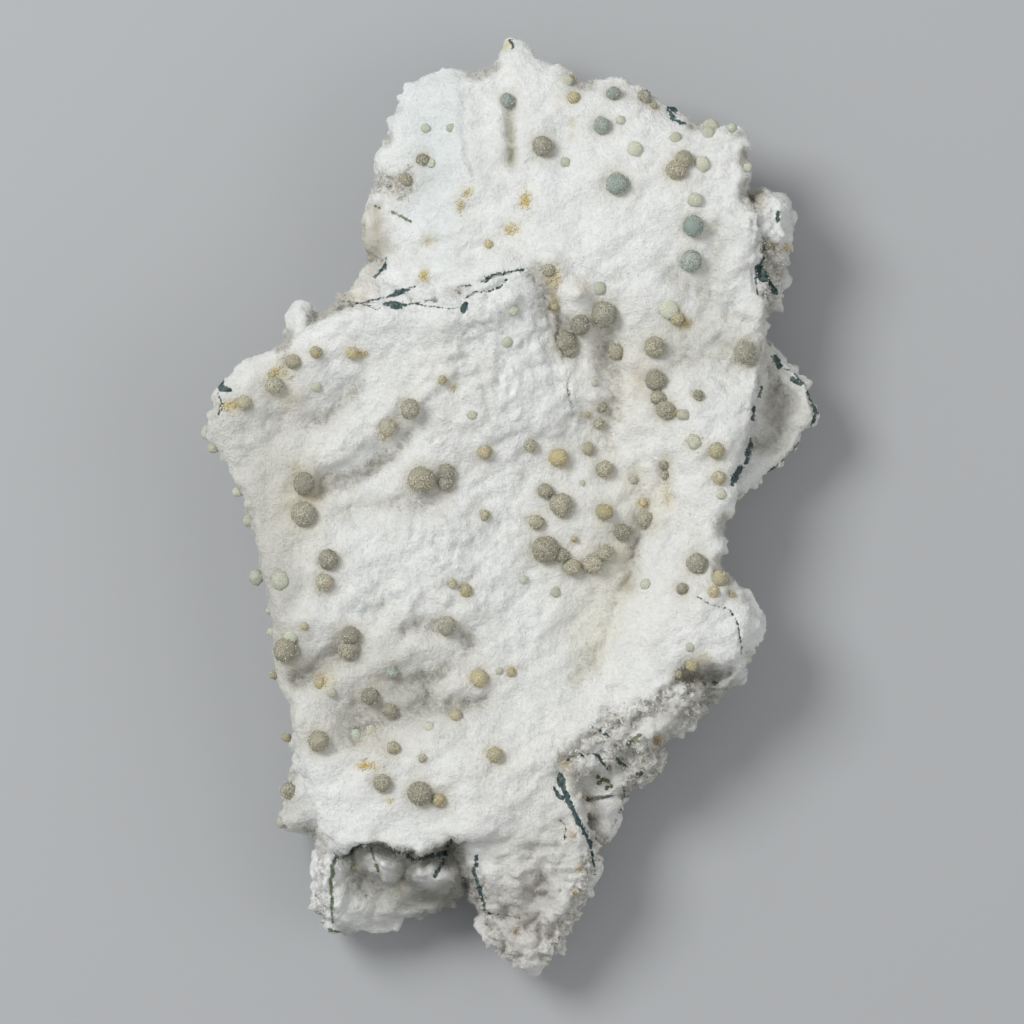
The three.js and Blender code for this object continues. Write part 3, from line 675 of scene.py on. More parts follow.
def vein_gap_at(points, with_depth=False):
    """The distance to the nearest vein's edge, negative inside it, in mm."""
    xy = points[:, :2] + VEIN_BEND * wobble(points, 2.4, 46)
    swell = 1 + VEIN_SWELL * soft_noise(points, 1.8, 45)
    nearest = np.full(len(xy), FAR_FROM_VEIN)
    depths = np.zeros(len(xy))
    for depth, line in VEINS:
        line = np.array(line, float)
        for start, end in zip(line[:-1], line[1:]):
            step = end - start
            along = np.clip(((xy - start[:2]) @ step[:2]) / (step[:2] @ step[:2]), 0, 1)
            way = np.hypot(*(xy - start[:2] - along[:, None] * step[:2]).T)
            gap = way - swell * (start[2] + along * step[2])
            nearest = np.minimum(nearest, gap)
            depths = np.maximum(depths, depth * (1 - smoothstep(-0.2, 0.8, gap)))
    return (nearest, depths) if with_depth else nearest


print(len(VEINS), "veins")

# %% [markdown]
# ## The crust: broken places
#
# Where the crust has broken it is gritty and full of pits. These places follow the broken edges, so they
# are lines as well, each with a reach to both sides. The edge of each is ruffled, so that no straight rim
# shows.

# %% Broken places: a line, its reach in mm, and how thickly loose grains lie there
ROUGH = [
    ([(12, -48.6), (17, -43.6), (23, -41), (28, -39), (33, -36), (36, -34.4)], 2.4, 0.4),
    ([(21, -49), (27, -49)], 4.0, 0.4),
    ([(34, -41), (38, -38)], 1.4, 0.1),
    ([(24, -57), (30, -50)], 3.0, 0.1),
    ([(-24.4, 64.4), (-21.6, 63), (-20.6, 66)], 2.0, 1.0),
    ([(17, -66), (15, -74), (12, -82), (7, -90)], 1.8, 0.15),
    ([(-6.4, -74), (-4.6, -84), (0, -90)], 1.4, 0.1),
    ([(52, 51), (51.6, 44)], 2.4, 0.5),
    ([(-38, -70), (-38, -82)], 1.2, 0.1),
]

BROKEN_BEND = 1.4              # how far their edges are ruffled, in mm


def roughness_at(points, grains_only=False):
    """1 in the middle of a broken place, falling to 0 beside it, or the share of grains there."""
    ragged = points[:, :2] + BROKEN_BEND * wobble(points, 4, 41)
    return np.max([
        (grains if grains_only else 1) * np.exp(-((line_distance(ragged, line) / reach) ** 4))
        for line, reach, grains in ROUGH
    ], axis=0)


print(len(ROUGH), "broken places")

# %% [markdown]
# ## The crust: a map of its hollows
#
# Needles grow longer in the furrows than on the ridges, and the furrows are greyed with painted shade. To
# know which is which, rays from above read the slab's height on an even grid. A place lies in a furrow if
# the ground on both sides of it is higher, whichever way the furrow runs, so the map is compared with
# itself, shifted to and fro in several directions.

# %% Height map of the face
MAP_STEP = 0.8                 # in mm
MAP_HALF = (66, 99)            # half the map's size along x and y, in mm


def softened(grid):
    """Each place takes the mean of itself and the four beside it."""
    return (grid + sum(np.roll(grid, way, (0, 1)) for way in ((1, 0), (-1, 0), (0, 1), (0, -1)))) / 5


def read_map(grid, points):
    """The value of a map at each point, blended from the four nearest cells."""
    place = (points[:, :2] + MAP_HALF) / MAP_STEP
    cell = np.clip(place.astype(int), 0, np.array(grid.shape) - 2)
    part = np.clip(place - cell, 0, 1)
    x, y = cell.T
    near_row = grid[x, y] * (1 - part[:, 1]) + grid[x, y + 1] * part[:, 1]
    next_row = grid[x + 1, y] * (1 - part[:, 1]) + grid[x + 1, y + 1] * part[:, 1]
    return near_row * (1 - part[:, 0]) + next_row * part[:, 0]


surface = surface_of(crust)
map_x = np.arange(-MAP_HALF[0], MAP_HALF[0], MAP_STEP)
map_y = np.arange(-MAP_HALF[1], MAP_HALF[1], MAP_STEP)
height_map = np.array([[height_at(surface, x, y) or 0 for y in map_y] for x in map_x])
map_points = np.stack([*np.meshgrid(map_x, map_y, indexing="ij"), height_map], axis=-1).reshape(-1, 3)
height_map += (height_map > 0) * relief_at(map_points).reshape(height_map.shape)
print("height map:", height_map.shape, "cells, up to", round(height_map.max(), 1), "mm high")

# %% Hollow map
FURROW_REACHES = (2.4, 4.0)    # how far to either side the higher ground is looked for
FURROW_WAYS = 8


def furrow_depths(heights):
    """How far each place lies below the ground on both sides of it, in the direction where that is most."""
    deepest = np.zeros_like(heights)
    for turn in np.linspace(0, math.pi, FURROW_WAYS, endpoint=False):
        for reach in FURROW_REACHES:
            way = np.round(reach / MAP_STEP * np.array((math.cos(turn), math.sin(turn)))).astype(int)
            sides = np.minimum(np.roll(heights, way, (0, 1)), np.roll(heights, -way, (0, 1)))
            deepest = np.maximum(deepest, sides - heights)
    return deepest


def hollow_at(points):
    """The depth of the hollow that holds each point, in mm, or 0 on the high ground."""
    return read_map(hollow_map, points)


hollow_map = softened(softened(furrow_depths(softened(height_map)) * (height_map > 0)))
print("deepest furrow on the map:", round(hollow_map.max(), 1), "mm")

# %% [markdown]
# ## The crust: drifts over the steps
#
# One plate of crust lies over the next, and the solids meet there in upright steps. On the real slab
# needles have filled the corner, like snow drifted against a wall. A blurred height map has just such
# slopes where the sharp one has steps, so the points near each step are moved onto it.

# %% Steps that are drifted over: a line and its reach in mm
DRIFTS = [
    ([(4, 49), (9, 42.4), (10.4, 36), (11.2, 30), (11.8, 22), (13.4, 15)], 4.0),
    ([(-33, 42), (-18, 42.2), (-12, 44.2), (-7, 46), (-3, 48), (3, 48.6)], 2.2),
    ([(50.8, 62), (50.8, 52), (51.4, 44)], 2.4),
    ([(16.6, -59.8), (23.6, -59)], 1.6),
]
DRIFT_PASSES = 30              # how often the height map is blurred
DRIFT_DEPTH = (5.0, 8.0)       # what lies deeper below the drift than this isn't part of the face
LEAST_COVER = 0.01

drift_map = height_map.copy()
covered_map = (height_map > 0).astype(float)
for _ in range(DRIFT_PASSES):
    drift_map = softened(drift_map)
    covered_map = softened(covered_map)
drift_map /= np.maximum(covered_map, LEAST_COVER)


def drifted(points, upward):
    """Brings the points along each step onto the blurred height map, so that the step becomes a slope."""
    flat = points[:, :2]
    near = np.max([np.exp(-((line_distance(flat, line) / reach) ** 4)) for line, reach in DRIFTS], axis=0)
    rise = read_map(drift_map, points) - points[:, 2]
    near *= (1 - smoothstep(*DRIFT_DEPTH, rise)) * smoothstep(-0.5, -0.2, upward)
    return points + np.c_[0 * rise, 0 * rise, near * rise]


print(len(DRIFTS), "steps drifted over")

# %% [markdown]
# ## The crust: sculpting
#
# Now the mesh takes its shape. It happens in two steps, because each works along the surface that the
# step before has left. First the ridges, furrows and drifts move the face up and down. Then lumps,
# granules, ledges and layers push every point along its normal, each kind only where it belongs: lumps
# drawn out along the grain on the face, ledges on the sides, and coarse crags and layers in the broken
# places.

# %% Coarse, craggy, layered and calm places: x, y, reach along x and y in mm, and strength
GRANULAR = [  # x, y, reach along x and y, and how much coarser the granules are there
    (-2, 30, 11, 14, 1.0), (30, 60, 16, 16, 0.4), (44, 40, 8, 14, 0.7), (38, -26, 10, 12, 0.4),
    (10, -78, 7, 14, 0.7), (-10, -8, 20, 16, 0.5), (-20, 42, 18, 3, 0.5), (54, 26, 6, 6, 0.6),
    (0, -50, 14, 8, 0.4), (-6, 72, 5, 16, 0.4), (20, 40, 6, 14, 0.4), (52, 56, 5, 7, 1.0),
    (-34, -76, 4, 8, 0.4),
    (-22, -71, 10, 3, 1.2), (-14, 76, 14, 16, -0.5), (24, 54, 18, 14, -0.3), (8, 62, 14, 14, -0.25),
    (17, -14, 6, 16, -0.4),
    (-42, 38, 4, 4, -0.5),
]
CRAGGY = [  # places with larger lumps and dents, given in the same way
    (4, -78, 9, 13, 1.3), (-22, -71, 10, 3, 0.6), (-22, -78, 12, 4, 0.2), (-36, -74, 3, 10, 0.6),
    (28, -44, 12, 8, 1.0), (53, 50, 5, 10, 0.8),
    (-26, 62, 5, 8, 0.5), (-24, -40, 12, 8, 0.5), (52, 20, 6, 10, 0.3), (-12, 43, 22, 3.4, 0.9),
    (46, 70, 5, 7, 0.5),
]

LAYERED = [  # places where the crust has broken in thin layers
    (40, -40, 9, 8, 2.0), (27, -55, 6, 9, 1.6), (14, -76, 5, 14, 0.8), (52, 50, 4, 9, 0.7),
    (56, 12, 6, 6, 0.6),
    (-20, 42, 16, 3, 0.5),
]
CALM_SIDES = [(-0.4, 92, 5, 5), (-42, 38, 5, 5), (-48, -20, 12, 40), (12, -80, 6, 12), (-22, -84, 12, 5)]

# %% Sculpt, first step: ridges, furrows and drifts
GRAIN = math.radians(38)       # the direction of the ridges
EVEN_GRANULES = 0.6            # how coarse the granules are all over the face
HOLLOW_GRANULES = 0.6          # how much coarser they are for each mm of a hollow's depth

mesh = crust.data
points = points_of(mesh)
normals = normals_of(mesh)
xy = points[:, :2]
facing_up = smoothstep(0.15, 0.6, normals[:, 2])
off_floor = smoothstep(0.4, 2.5, points[:, 2])
along_grain = np.c_[
    points[:, 0] * math.cos(GRAIN) + points[:, 1] * math.sin(GRAIN),
    points[:, 1] * math.cos(GRAIN) - points[:, 0] * math.sin(GRAIN),
    points[:, 2],
]
granular = EVEN_GRANULES + spots_at(xy, GRANULAR)
granular += HOLLOW_GRANULES * np.clip(hollow_at(points), 0, 1.5)
craggy = spots_at(xy, CRAGGY)
layered = spots_at(xy, LAYERED)
rough = roughness_at(points)
vein_depth = vein_gap_at(points, with_depth=True)[1]

points[:, 2] += relief_at(points) * facing_up
points = drifted(points, normals[:, 2])
move_points(mesh, points)
normals = normals_of(mesh)
print("face raised and sunk; highest point", round(points[:, 2].max(), 2), "mm")

# %% Lumps: height and size in mm, the level that neither lifts nor sinks, and a seed
GRANULES = [(0.5, 2.4, 0.4, 3), (0.34, 1.3, 0.4, 4)]
SIDE_LUMPS = [(1.1, 5, 0.4, 5), (0.8, 2.4, 0.4, 6)]
DEEP_LUMPS = [(2.4, (9, 9, 6), 0.45, 18), (1.2, 3.4, 0.4, 19)]
CRAGS = [(1.5, 4.6, 0.4, 15), (0.8, 2.2, 0.4, 16)]
PITS = [(1.7, 3, 0.45, 8), (1.0, 1.5, 0.4, 9)]
DEEP_SIDES = (9.0, 22.0)       # the deep lumps start below the second height, and are full below the first
CALMER = 0.7                   # how much of their lumps the calm sides lose


def lumps_of(points, kinds):
    """Lumps of several sizes, one on another, in mm."""
    return sum(height * (lumpy(points, size, seed) - level) for height, size, level, seed in kinds)


drawn_out = 0.55 * soft_noise(along_grain, (7, 4, 6), 1) + 0.45 * soft_noise(along_grain, (3.6, 2.4, 3), 2)
side = lumps_of(points, SIDE_LUMPS)
for spot in CALM_SIDES:
    side *= 1 - CALMER * soft_spot(xy, *spot)
side += (1 - smoothstep(*DEEP_SIDES, points[:, 2])) * lumps_of(points, DEEP_LUMPS)
print("side lumps from", round(side.min(), 1), "to", round(side.max(), 1), "mm")

# %% Ledges and layers: the edges of thin sheets of crust, one above another
LEDGE = 0.45                   # how far the ledges stand out, in mm
LEDGE_TURN = 1.7               # how fast their wave turns going up, in radians for each mm
LAYER = 2.0                    # the height of one broken layer, in mm
LAYER_STANDS = 0.32            # how far it stands out, as a share of that

ledges = LEDGE * np.sin(points[:, 2] * LEDGE_TURN + 3 * soft_noise(points, 9, 7))
tilted = points[:, 2] + 1.6 * soft_noise(points, 7, 17)
layers = LAYER_STANDS * LAYER * np.sin(2 * math.pi * tilted / LAYER)
print("ledges stand out", round(ledges.max(), 2), "mm, and layers", round(layers.max(), 2), "mm")

# %% Sculpt, second step: push the skin in and out
BALL_FOOT = 0.8                # the crust lies calm within this many diameters of a ball's centre
BALL_CALM = 0.7
HIGHEST = 40.4                 # lumps that stand above this are pressed down by the share below
PRESSED = 0.7

beside_ball = np.max([soft_spot(xy, x, y, BALL_FOOT * d, BALL_FOOT * d) for x, y, d in FACE_BALLS], axis=0)
face = facing_up * drawn_out + granular * lumps_of(points, GRANULES) + craggy * lumps_of(points, CRAGS)
push = (1 - BALL_CALM * beside_ball) * face + rough * lumps_of(points, PITS)
push += (1 - facing_up) * (side + ledges) + 0.5 * layered * layers - vein_depth
points += normals * (push * off_floor)[:, None]
points[:, 2] = np.maximum(points[:, 2], 0) - PRESSED * np.maximum(points[:, 2] - HIGHEST, 0)
move_points(mesh, points)
print("sculpted; highest point", round(points[:, 2].max(), 2), "mm")

# %% [markdown]
# ## The crust: fewer faces where the shape is plain
#
# The even skin spends as many faces on the flat rest facet as on the face. Decimate takes away first what
# changes the shape least, so the flat parts lose nearly all of theirs and the rough parts few.

# %% Thin out the flat parts
MOST_FACES = 148000


def triangle_count(mesh):
    """How many triangles the mesh's faces make."""
    mesh.calc_loop_triangles()
    return len(mesh.loop_triangles)


print("before:", triangle_count(crust.data), "triangles")
with_modifier(crust, "TRIANGULATE")
with_modifier(crust, "DECIMATE", ratio=MOST_FACES / triangle_count(crust.data))
print("after:", triangle_count(crust.data), "triangles")

# %% [markdown]
# ## The crust: finer faces along the veins
#
# The shader will read the distance to the nearest vein from the mesh, which holds it only at its points.
# A vein that is thinner than a face would come out as a row of blots. Halving the edges beside the veins,
# first in a wider band and then in a narrow one, gives their outlines points enough.

# %% Split the edges beside the veins
VEIN_REACH_DOWN = 6.0          # how far below the face the veins are seen, in mm
VEIN_FADE = 0.4                # how fast the gap grows below that
SPLIT_BANDS = (0.6, 0.2)       # half the width of each band round a vein's outline, in mm


def vein_gap_near_face(points):
    """The distance to the nearest vein's edge, which grows far below the face, where the veins end."""
    too_deep = np.maximum(read_map(drift_map, points) - points[:, 2] - VEIN_REACH_DOWN, 0)
    return vein_gap_at(points) + VEIN_FADE * too_deep


def split_near_veins(obj, band):
    """Halves every edge that has both ends within this distance of a vein's outline."""
    fine = bmesh.new()
    fine.from_mesh(obj.data)
    near = np.abs(vein_gap_near_face(points_of(obj.data))) < band
    edges = [edge for edge in fine.edges if near[edge.verts[0].index] and near[edge.verts[1].index]]
    bmesh.ops.subdivide_edges(fine, edges=edges, cuts=1)
    bmesh.ops.triangulate(fine, faces=fine.faces)
    fine.to_mesh(obj.data)
    fine.free()
    print("split within", band, "mm of the veins:", triangle_count(obj.data), "triangles")


for band in SPLIT_BANDS:
    split_near_veins(crust, band)
points = points_of(crust.data)
points[:, 2] = np.maximum(points[:, 2], 0)      # Decimate may have moved points a little below the floor
move_points(crust.data, points)

# %% [markdown]
# ## The crust: colour
#
# White needles take on the tint of what lies under and beside them: bluish at the top, cream in the
# trough, and yellow to orange where iron has stained them. The broken edges are grey, partly from their own
# grit and partly from painted shade. Painted shade also greys the hollows and the places under overhangs,
# and together with soiling the feet of the balls, while a few shaded places are painted lighter. These are
# broad soft patches, so they are kept as one colour for each point of the mesh. The veins have sharp edges,
# so the mesh keeps the distance to the nearest vein instead, and the shader cuts it off sharply at zero.

# %% Tints and painted shading: x, y, reach along x and y in mm, colour, strength
OKENITE = (240, 241, 238)
# The bluish, cream and tan entries are the crust's own tints. The grey ones are painted shade: in the
# furrows and along the left edge of the front plate, under the overhangs of the lower lobe and the bright
# block, in the rear bowl and in the dents of the leg. The nearly white ones are painted light on shaded
# places: the lobe's left ridge, the shell below the cavity and the notch by the crest.
TINTS_AND_PAINTED_SHADING = [
    (-16, 72, 7, 22, (226, 232, 232), 0.8), (9, 72, 6, 14, (231, 235, 234), 0.5),
    (19, -12, 7, 13, (229, 226, 213), 0.75), (15, -25, 5, 8, (232, 229, 214), 0.7),
    (17, 33, 6, 9, (226, 223, 213), 0.45), (22, 22, 6, 8, (233, 229, 216), 0.6),
    (26, 4, 6, 6, (233, 229, 214), 0.6), (-14, 25, 9, 10, (232, 232, 226), 0.5),
    (-51, 2, 8, 24, (200, 199, 189), 0.65), (-24, -32, 18, 12, (214, 213, 205), 0.6),
    (-28, 49, 2.4, 2.4, (238, 238, 232), 0.9), (-46, 9, 9, 12, (216, 215, 208), 0.5),
    (34, -10, 9, 12, (230, 229, 223), 0.5),
    (-47, -22, 5.5, 30, (196, 195, 185), 0.7), (-38, 19, 9, 4, (214, 214, 209), 0.6),
    (-59, 19, 4, 8, (200, 199, 190), 0.6), (-28.4, 53, 2.6, 3.4, (172, 166, 148), 0.8),
    (-46, -61, 5, 4, (196, 195, 186), 0.6), (39.6, -37.4, 4, 4, (148, 145, 138), 0.6),
    (34, -43, 4, 3, (166, 164, 156), 0.6), (25.4, -50, 3, 6, (190, 187, 179), 0.5),
    (-25, 1, 10, 5, (214, 214, 208), 0.55), (41, 46, 4, 6, (216, 216, 210), 0.4),
    (-23, -38.6, 7, 3.4, (184, 183, 174), 0.7), (-9, -38.4, 4, 2.4, (190, 189, 180), 0.6),
    (-42, 2, 5, 8, (222, 216, 198), 0.6), (-28, -40, 12, 8, (208, 206, 197), 0.75),
    (-38, -29.6, 4, 3, (190, 189, 180), 0.6),
    (-17, -78.5, 9, 4, (132, 130, 121), 0.9), (-27, -75, 6, 3, (184, 182, 173), 0.7),
    (-17, -75.4, 8, 2.6, (126, 124, 115), 0.8), (54, 18, 6, 9, (204, 202, 194), 0.8),
    (-36, -76, 3, 7, (246, 247, 244), 0.9), (2, -84, 10, 9, (216, 213, 206), 0.8),
    (4, -75, 10, 12, (222, 220, 213), 0.7), (5, -76.6, 3, 3, (172, 170, 162), 0.7),
    (0.4, -82, 3.6, 2.8, (190, 187, 178), 0.5), (-34, -85.4, 3, 2, (150, 150, 144), 0.6),
    (10, -63.6, 2.4, 3, (200, 197, 188), 0.5), (-2, -66, 4, 2.4, (206, 204, 197), 0.4),
    (-44, -14, 4, 5, (190, 190, 180), 0.5), (-22, -35.4, 4, 2.4, (186, 185, 177), 0.6),
    (28, -46, 9, 7, (224, 222, 214), 0.5),
    (40, -33.8, 6.4, 2.0, (130, 126, 118), 0.9), (-22.6, 64, 3.4, 3.0, (220, 217, 210), 0.6),
    (-28.4, 57, 2.6, 3, (192, 186, 168), 0.9), (-33, 43, 4, 3, (222, 212, 190), 0.5),
    (52, 46, 4, 4, (206, 203, 196), 0.6), (12, -60, 5, 8, (228, 225, 218), 0.5),
    (19, -61, 4, 6, (238, 236, 230), 0.6), (38, 34, 12, 6, (208, 207, 198), 0.65),
    (0, -52, 16, 8, (234, 234, 226), 0.5), (10, -34, 5, 10, (230, 230, 224), 0.4),
]

# %% Stains: x, y, reach along x and y in mm, colour, strength
AMBER = (214, 190, 104)
TAN = (208, 192, 146)
OLIVE = (150, 154, 122)
RUST = (176, 130, 48)
HOLLOW_SHADE = (160, 159, 150)       # painted shade that greys the fur in the hollows
FOOT_STAIN_AND_SHADE = (196, 188, 164)         # soiled fur round the feet of the balls, darkened there as painted shade as well
PIT_GRIT_AND_SHADE = (138, 130, 112)         # the brownish grit in the pits of the rough places, darkened there as painted shade too
STAINS = [
    (-10.2, 60.6, 0.9, 1.3, AMBER, 0.9), (-8.9, 63, 0.9, 1, AMBER, 0.9), (2.6, 61.4, 1, 1.7, AMBER, 0.95),
    (-0.2, 55.6, 1.3, 1.2, AMBER, 0.8), (-16.6, 53.6, 1.2, 1.2, TAN, 0.7),
    (-17.6, 46.4, 0.8, 0.9, AMBER, 0.9),
    (-29.8, 31, 1, 0.8, AMBER, 0.8), (-47.2, 27, 1.2, 1, AMBER, 0.8), (-54.8, 20.8, 1, 0.8, AMBER, 0.9),
    (-25.4, 14.4, 0.8, 0.8, AMBER, 0.6), (8.6, 46, 1.1, 2, AMBER, 0.7), (34, 37.4, 1.4, 1, AMBER, 0.8),
    (-11.8, 24.4, 0.7, 0.7, AMBER, 0.6), (-37.2, -33.6, 1, 1, AMBER, 0.6),
    (-24.4, -57.6, 0.9, 0.8, AMBER, 0.6),
    (-39.6, 3, 2.4, 1.6, TAN, 0.5), (-42.4, 7, 1.6, 1.6, TAN, 0.5),
    (7.4, 46.4, 1, 2, TAN, 0.6), (8.2, 41.4, 0.8, 2, TAN, 0.7), (-28.8, -50.6, 2, 0.7, AMBER, 1.0),
    (54.8, 52.4, 1.2, 0.9, AMBER, 0.7), (51, 52.6, 1.2, 0.8, AMBER, 0.4), (36, 13.6, 2, 2, AMBER, 0.3),
    (29, -45.8, 0.8, 0.9, RUST, 0.9), (13.3, -54.5, 0.4, 0.5, OLIVE, 0.8),
    (14.4, -57.4, 0.5, 0.5, RUST, 0.7),
    (12, -64.8, 0.9, 0.8, RUST, 0.6), (13.3, -71.6, 0.7, 0.6, AMBER, 0.7),
    (12.6, -76.2, 0.7, 0.6, AMBER, 0.7),
    (0.9, -84.3, 0.8, 0.8, RUST, 0.6), (10.5, -50.6, 1.2, 1, TAN, 0.8),
    (-22.2, -75.8, 0.9, 0.9, TAN, 0.4),
    (26.4, 1.2, 1.1, 0.8, AMBER, 0.8), (30.4, 8, 0.6, 3.6, AMBER, 0.35), (30.9, 2.6, 1.2, 2, AMBER, 0.35),
    (8.6, -16.4, 1.1, 0.9, AMBER, 0.5), (12, 77.4, 0.8, 1, TAN, 0.7), (11.8, 74.2, 0.7, 0.8, TAN, 0.6),
    (12.3, 86.4, 0.8, 0.8, AMBER, 0.7), (10.8, 88.6, 0.9, 0.7, TAN, 0.6),
    (-1, 93, 0.9, 0.9, (232, 220, 140), 0.9),
    (48, 75.6, 1.3, 0.8, (214, 190, 156), 0.9), (23.2, -14.6, 1.4, 2.4, (176, 168, 140), 0.7),
    (22.6, -9, 1.2, 3, (206, 196, 172), 0.6), (-43.6, 22, 2.5, 2.5, (222, 210, 180), 0.5),
    (-45.4, 27.6, 1.5, 1.5, AMBER, 0.4), (-56.6, 20.6, 1.4, 0.9, AMBER, 0.6),
    # this entry and the first on the next line darken the groove below the ball on the upper plate: partly
    # an olive stain, partly painted shade in the groove
    (-0.4, 75, 1.0, 5, (172, 168, 144), 0.85),
    (0, 70, 1.2, 1.6, (168, 164, 140), 0.8), (25.2, 26.4, 1.2, 4, (214, 200, 172), 0.5),
    (14, 44, 2, 2, (222, 208, 180), 0.4),
    (-29, -46.6, 2.4, 1.6, (210, 202, 182), 0.6), (-36.6, -34, 1.8, 1.8, (216, 204, 172), 0.5),
    (60.4, 22, 1, 3, (196, 186, 160), 0.5), (48.8, 62, 2, 1.4, (214, 200, 178), 0.5),
    (33.6, 37.4, 1.6, 1.2, AMBER, 0.5), (37.6, -29.4, 2, 1.6, (200, 184, 158), 0.5),
    (9, 82, 1, 3, (222, 214, 196), 0.5), (45.6, 69.4, 1.6, 1.6, (216, 206, 192), 0.5),
]

# %% Veins that are olive rather than blue-green: x, y, reach along x and y in mm, and strength
OLIVE_VEINS = [
    (-36, -77, 3, 8, 1), (-27.6, -70, 2, 3, 1), (-24, 59, 5, 3, 1), (-32, 43, 3, 2, 1), (24, -46, 3, 2, 1),
]
MOST_OLIVE = 0.85

# %% Store colours and numbers at a mesh's points
def write_colour(mesh, name, colours):
    """Stores a colour in linear light at each point."""
    layer = mesh.attributes.new(name, "FLOAT_COLOR", "POINT")
    layer.data.foreach_set("color", np.c_[colours, np.ones(len(colours))].astype(np.float32).ravel())


def write_number(mesh, name, values):
    """Stores a number at each point."""
    layer = mesh.attributes.new(name, "FLOAT", "POINT")
    layer.data.foreach_set("value", values.astype(np.float32))


def blend_in(colours, share, colour):
    """Moves each colour towards a shown colour, by its own share of the way."""
    return colours + share[:, None] * (np.array(shown(*colour)) - colours)


# %% Colour the points of the crust
TINT_WANDER = 2.5              # how far the edges of the tints and of the stains stray, in mm
STAIN_WANDER = 0.6
DULL = (206, 206, 199)         # a faint greyness in large patches, all over the crust
FOOT_STAIN_AND_SHADE_REACH = (0.3, 0.6)        # in mm, and for each mm of the ball's diameter
HOLLOW_SHADE_DEPTHS = (0.2, 1.8)     # the depths in mm between which a hollow takes on its painted shade
HOLLOW_SHADE_SHARE = 0.45            # how strong the painted shade of hollows, the dull patches, the stain and shade at the balls' feet, and the grit and shade of pits are
DULL_SHARE = 0.25
FOOT_STAIN_AND_SHADE_SHARE = 0.6
PIT_GRIT_AND_SHADE_SHARE = 0.45


def crust_colours(points):
    """The base colour of the crust at these points, in linear light, with its painted shade and light."""
    flat = points[:, :2]
    wander = wobble(points, 5, 11)
    colours = np.tile(shown(*OKENITE), (len(points), 1))
    # painted shade: each point is greyed by the depth of the hollow that holds it
    colours = blend_in(colours, HOLLOW_SHADE_SHARE * smoothstep(*HOLLOW_SHADE_DEPTHS, hollow_at(points)), HOLLOW_SHADE)
    for *spot, colour, strength in TINTS_AND_PAINTED_SHADING:
        colours = blend_in(colours, strength * soft_spot(flat + TINT_WANDER * wander, *spot), colour)
    ragged = flat + STAIN_WANDER * wobble(points, 1.4, 13)
    for *spot, colour, strength in STAINS:
        colours = blend_in(colours, strength * soft_spot(ragged, *spot), colour)
    colours = blend_in(colours, DULL_SHARE * smoothstep(0, 0.9, soft_noise(points, 6, 61)), DULL)
    # stain and painted shade: a darker tan ring round the foot of each grown ball
    foot_stain_and_shade = np.zeros(len(points))
    for x, y, diameter in BROWN_BALLS + BLUE_BALLS + GOLD_BALLS:
        reach = FOOT_STAIN_AND_SHADE_REACH[0] + FOOT_STAIN_AND_SHADE_REACH[1] * diameter
        foot_stain_and_shade = np.maximum(foot_stain_and_shade, soft_spot(ragged + wander, x, y, reach, reach))
    colours = blend_in(colours, FOOT_STAIN_AND_SHADE_SHARE * foot_stain_and_shade, FOOT_STAIN_AND_SHADE)
    # grit and painted shade: where the sculpted pits sink lowest, the colour is darkened towards the grit
    pit_shade_and_grit_mask = 1 - smoothstep(0.15, 0.5, lumpy(points, 1.5, 9))
    return blend_in(colours, PIT_GRIT_AND_SHADE_SHARE * pit_shade_and_grit_mask * roughness_at(points), PIT_GRIT_AND_SHADE)


points = points_of(crust.data)
write_colour(crust.data, "tint", crust_colours(points))
write_number(crust.data, "vein_gap", vein_gap_near_face(points))
write_number(crust.data, "rough", roughness_at(points))
write_number(crust.data, "olive", np.clip(spots_at(points[:, :2], OLIVE_VEINS), 0, MOST_OLIVE))
print("coloured", len(points), "points")

# %% [markdown]
# ## The crust: material
#
# Up close the crust is a felt of needles with shaded gaps between them. Three sizes of noise stand for
# that: one mottles the colour, one bumps the creases, paints shade into them and frays the veins, and the
# finest only bumps the surface. Felt has no gloss, so the shader is rough with little specular light.

# %% Crust material
MOTTLE = 2.0 * MM              # the sizes of the three kinds of noise
FRAY = 0.9 * MM
FINE_GRAIN = 0.35 * MM
VEIN_RAGGED = 0.4              # how far a vein's outline frays, in mm
DARK_VEIN = (40, 60, 66)
PALE_VEIN = (126, 146, 140)

crust_material, tree, shader = new_material("okenite_crust", {"Roughness": 0.95, "Specular IOR Level": 0.2})
mottle = noise_node(tree, MOTTLE, 5.0, 0.65)
fray = noise_node(tree, FRAY, 4.0, 0.65)
shade = spread(tree, mottle, 0.3, 0.7, 0.94, 1.03)
# painted shade: where the crease noise bumps the surface down, the colour is darkened too
crease = spread(tree, fray, 0.3, 0.5, 0.92, 1.01)
toned = scaled(tree, stored(tree, "tint", "Color"), calculated(tree, "MULTIPLY", shade, crease))
# grit and painted shade: in the rough places the hollows of the crease bump darken towards the grit
pit_shade_and_grit = calculated(tree, "MULTIPLY", spread(tree, fray, 0.5, 0.38, 0.0, 0.5), stored(tree, "rough"))
toned_with_pit_shade_and_grit = mixed(tree, pit_shade_and_grit, toned, opaque(PIT_GRIT_AND_SHADE))

ragged = spread(tree, fray, 0.25, 0.75, -VEIN_RAGGED, VEIN_RAGGED)
in_vein = spread(tree, calculated(tree, "ADD", stored(tree, "vein_gap"), ragged), -0.06, 0.1, 1.0, 0.0)
celadonite = add_node(tree, "ShaderNodeValToRGB", Fac=fray)
stops = zip(celadonite.color_ramp.elements, (0.32, 0.72), (DARK_VEIN, PALE_VEIN))
for stop, position, colour in stops:
    stop.position = position
    stop.color = opaque(colour)
seam = mixed(tree, stored(tree, "olive"), celadonite.outputs["Color"], opaque(OLIVE))
tree.links.new(mixed(tree, in_vein, toned_with_pit_shade_and_grit, seam), shader.inputs["Base Color"])

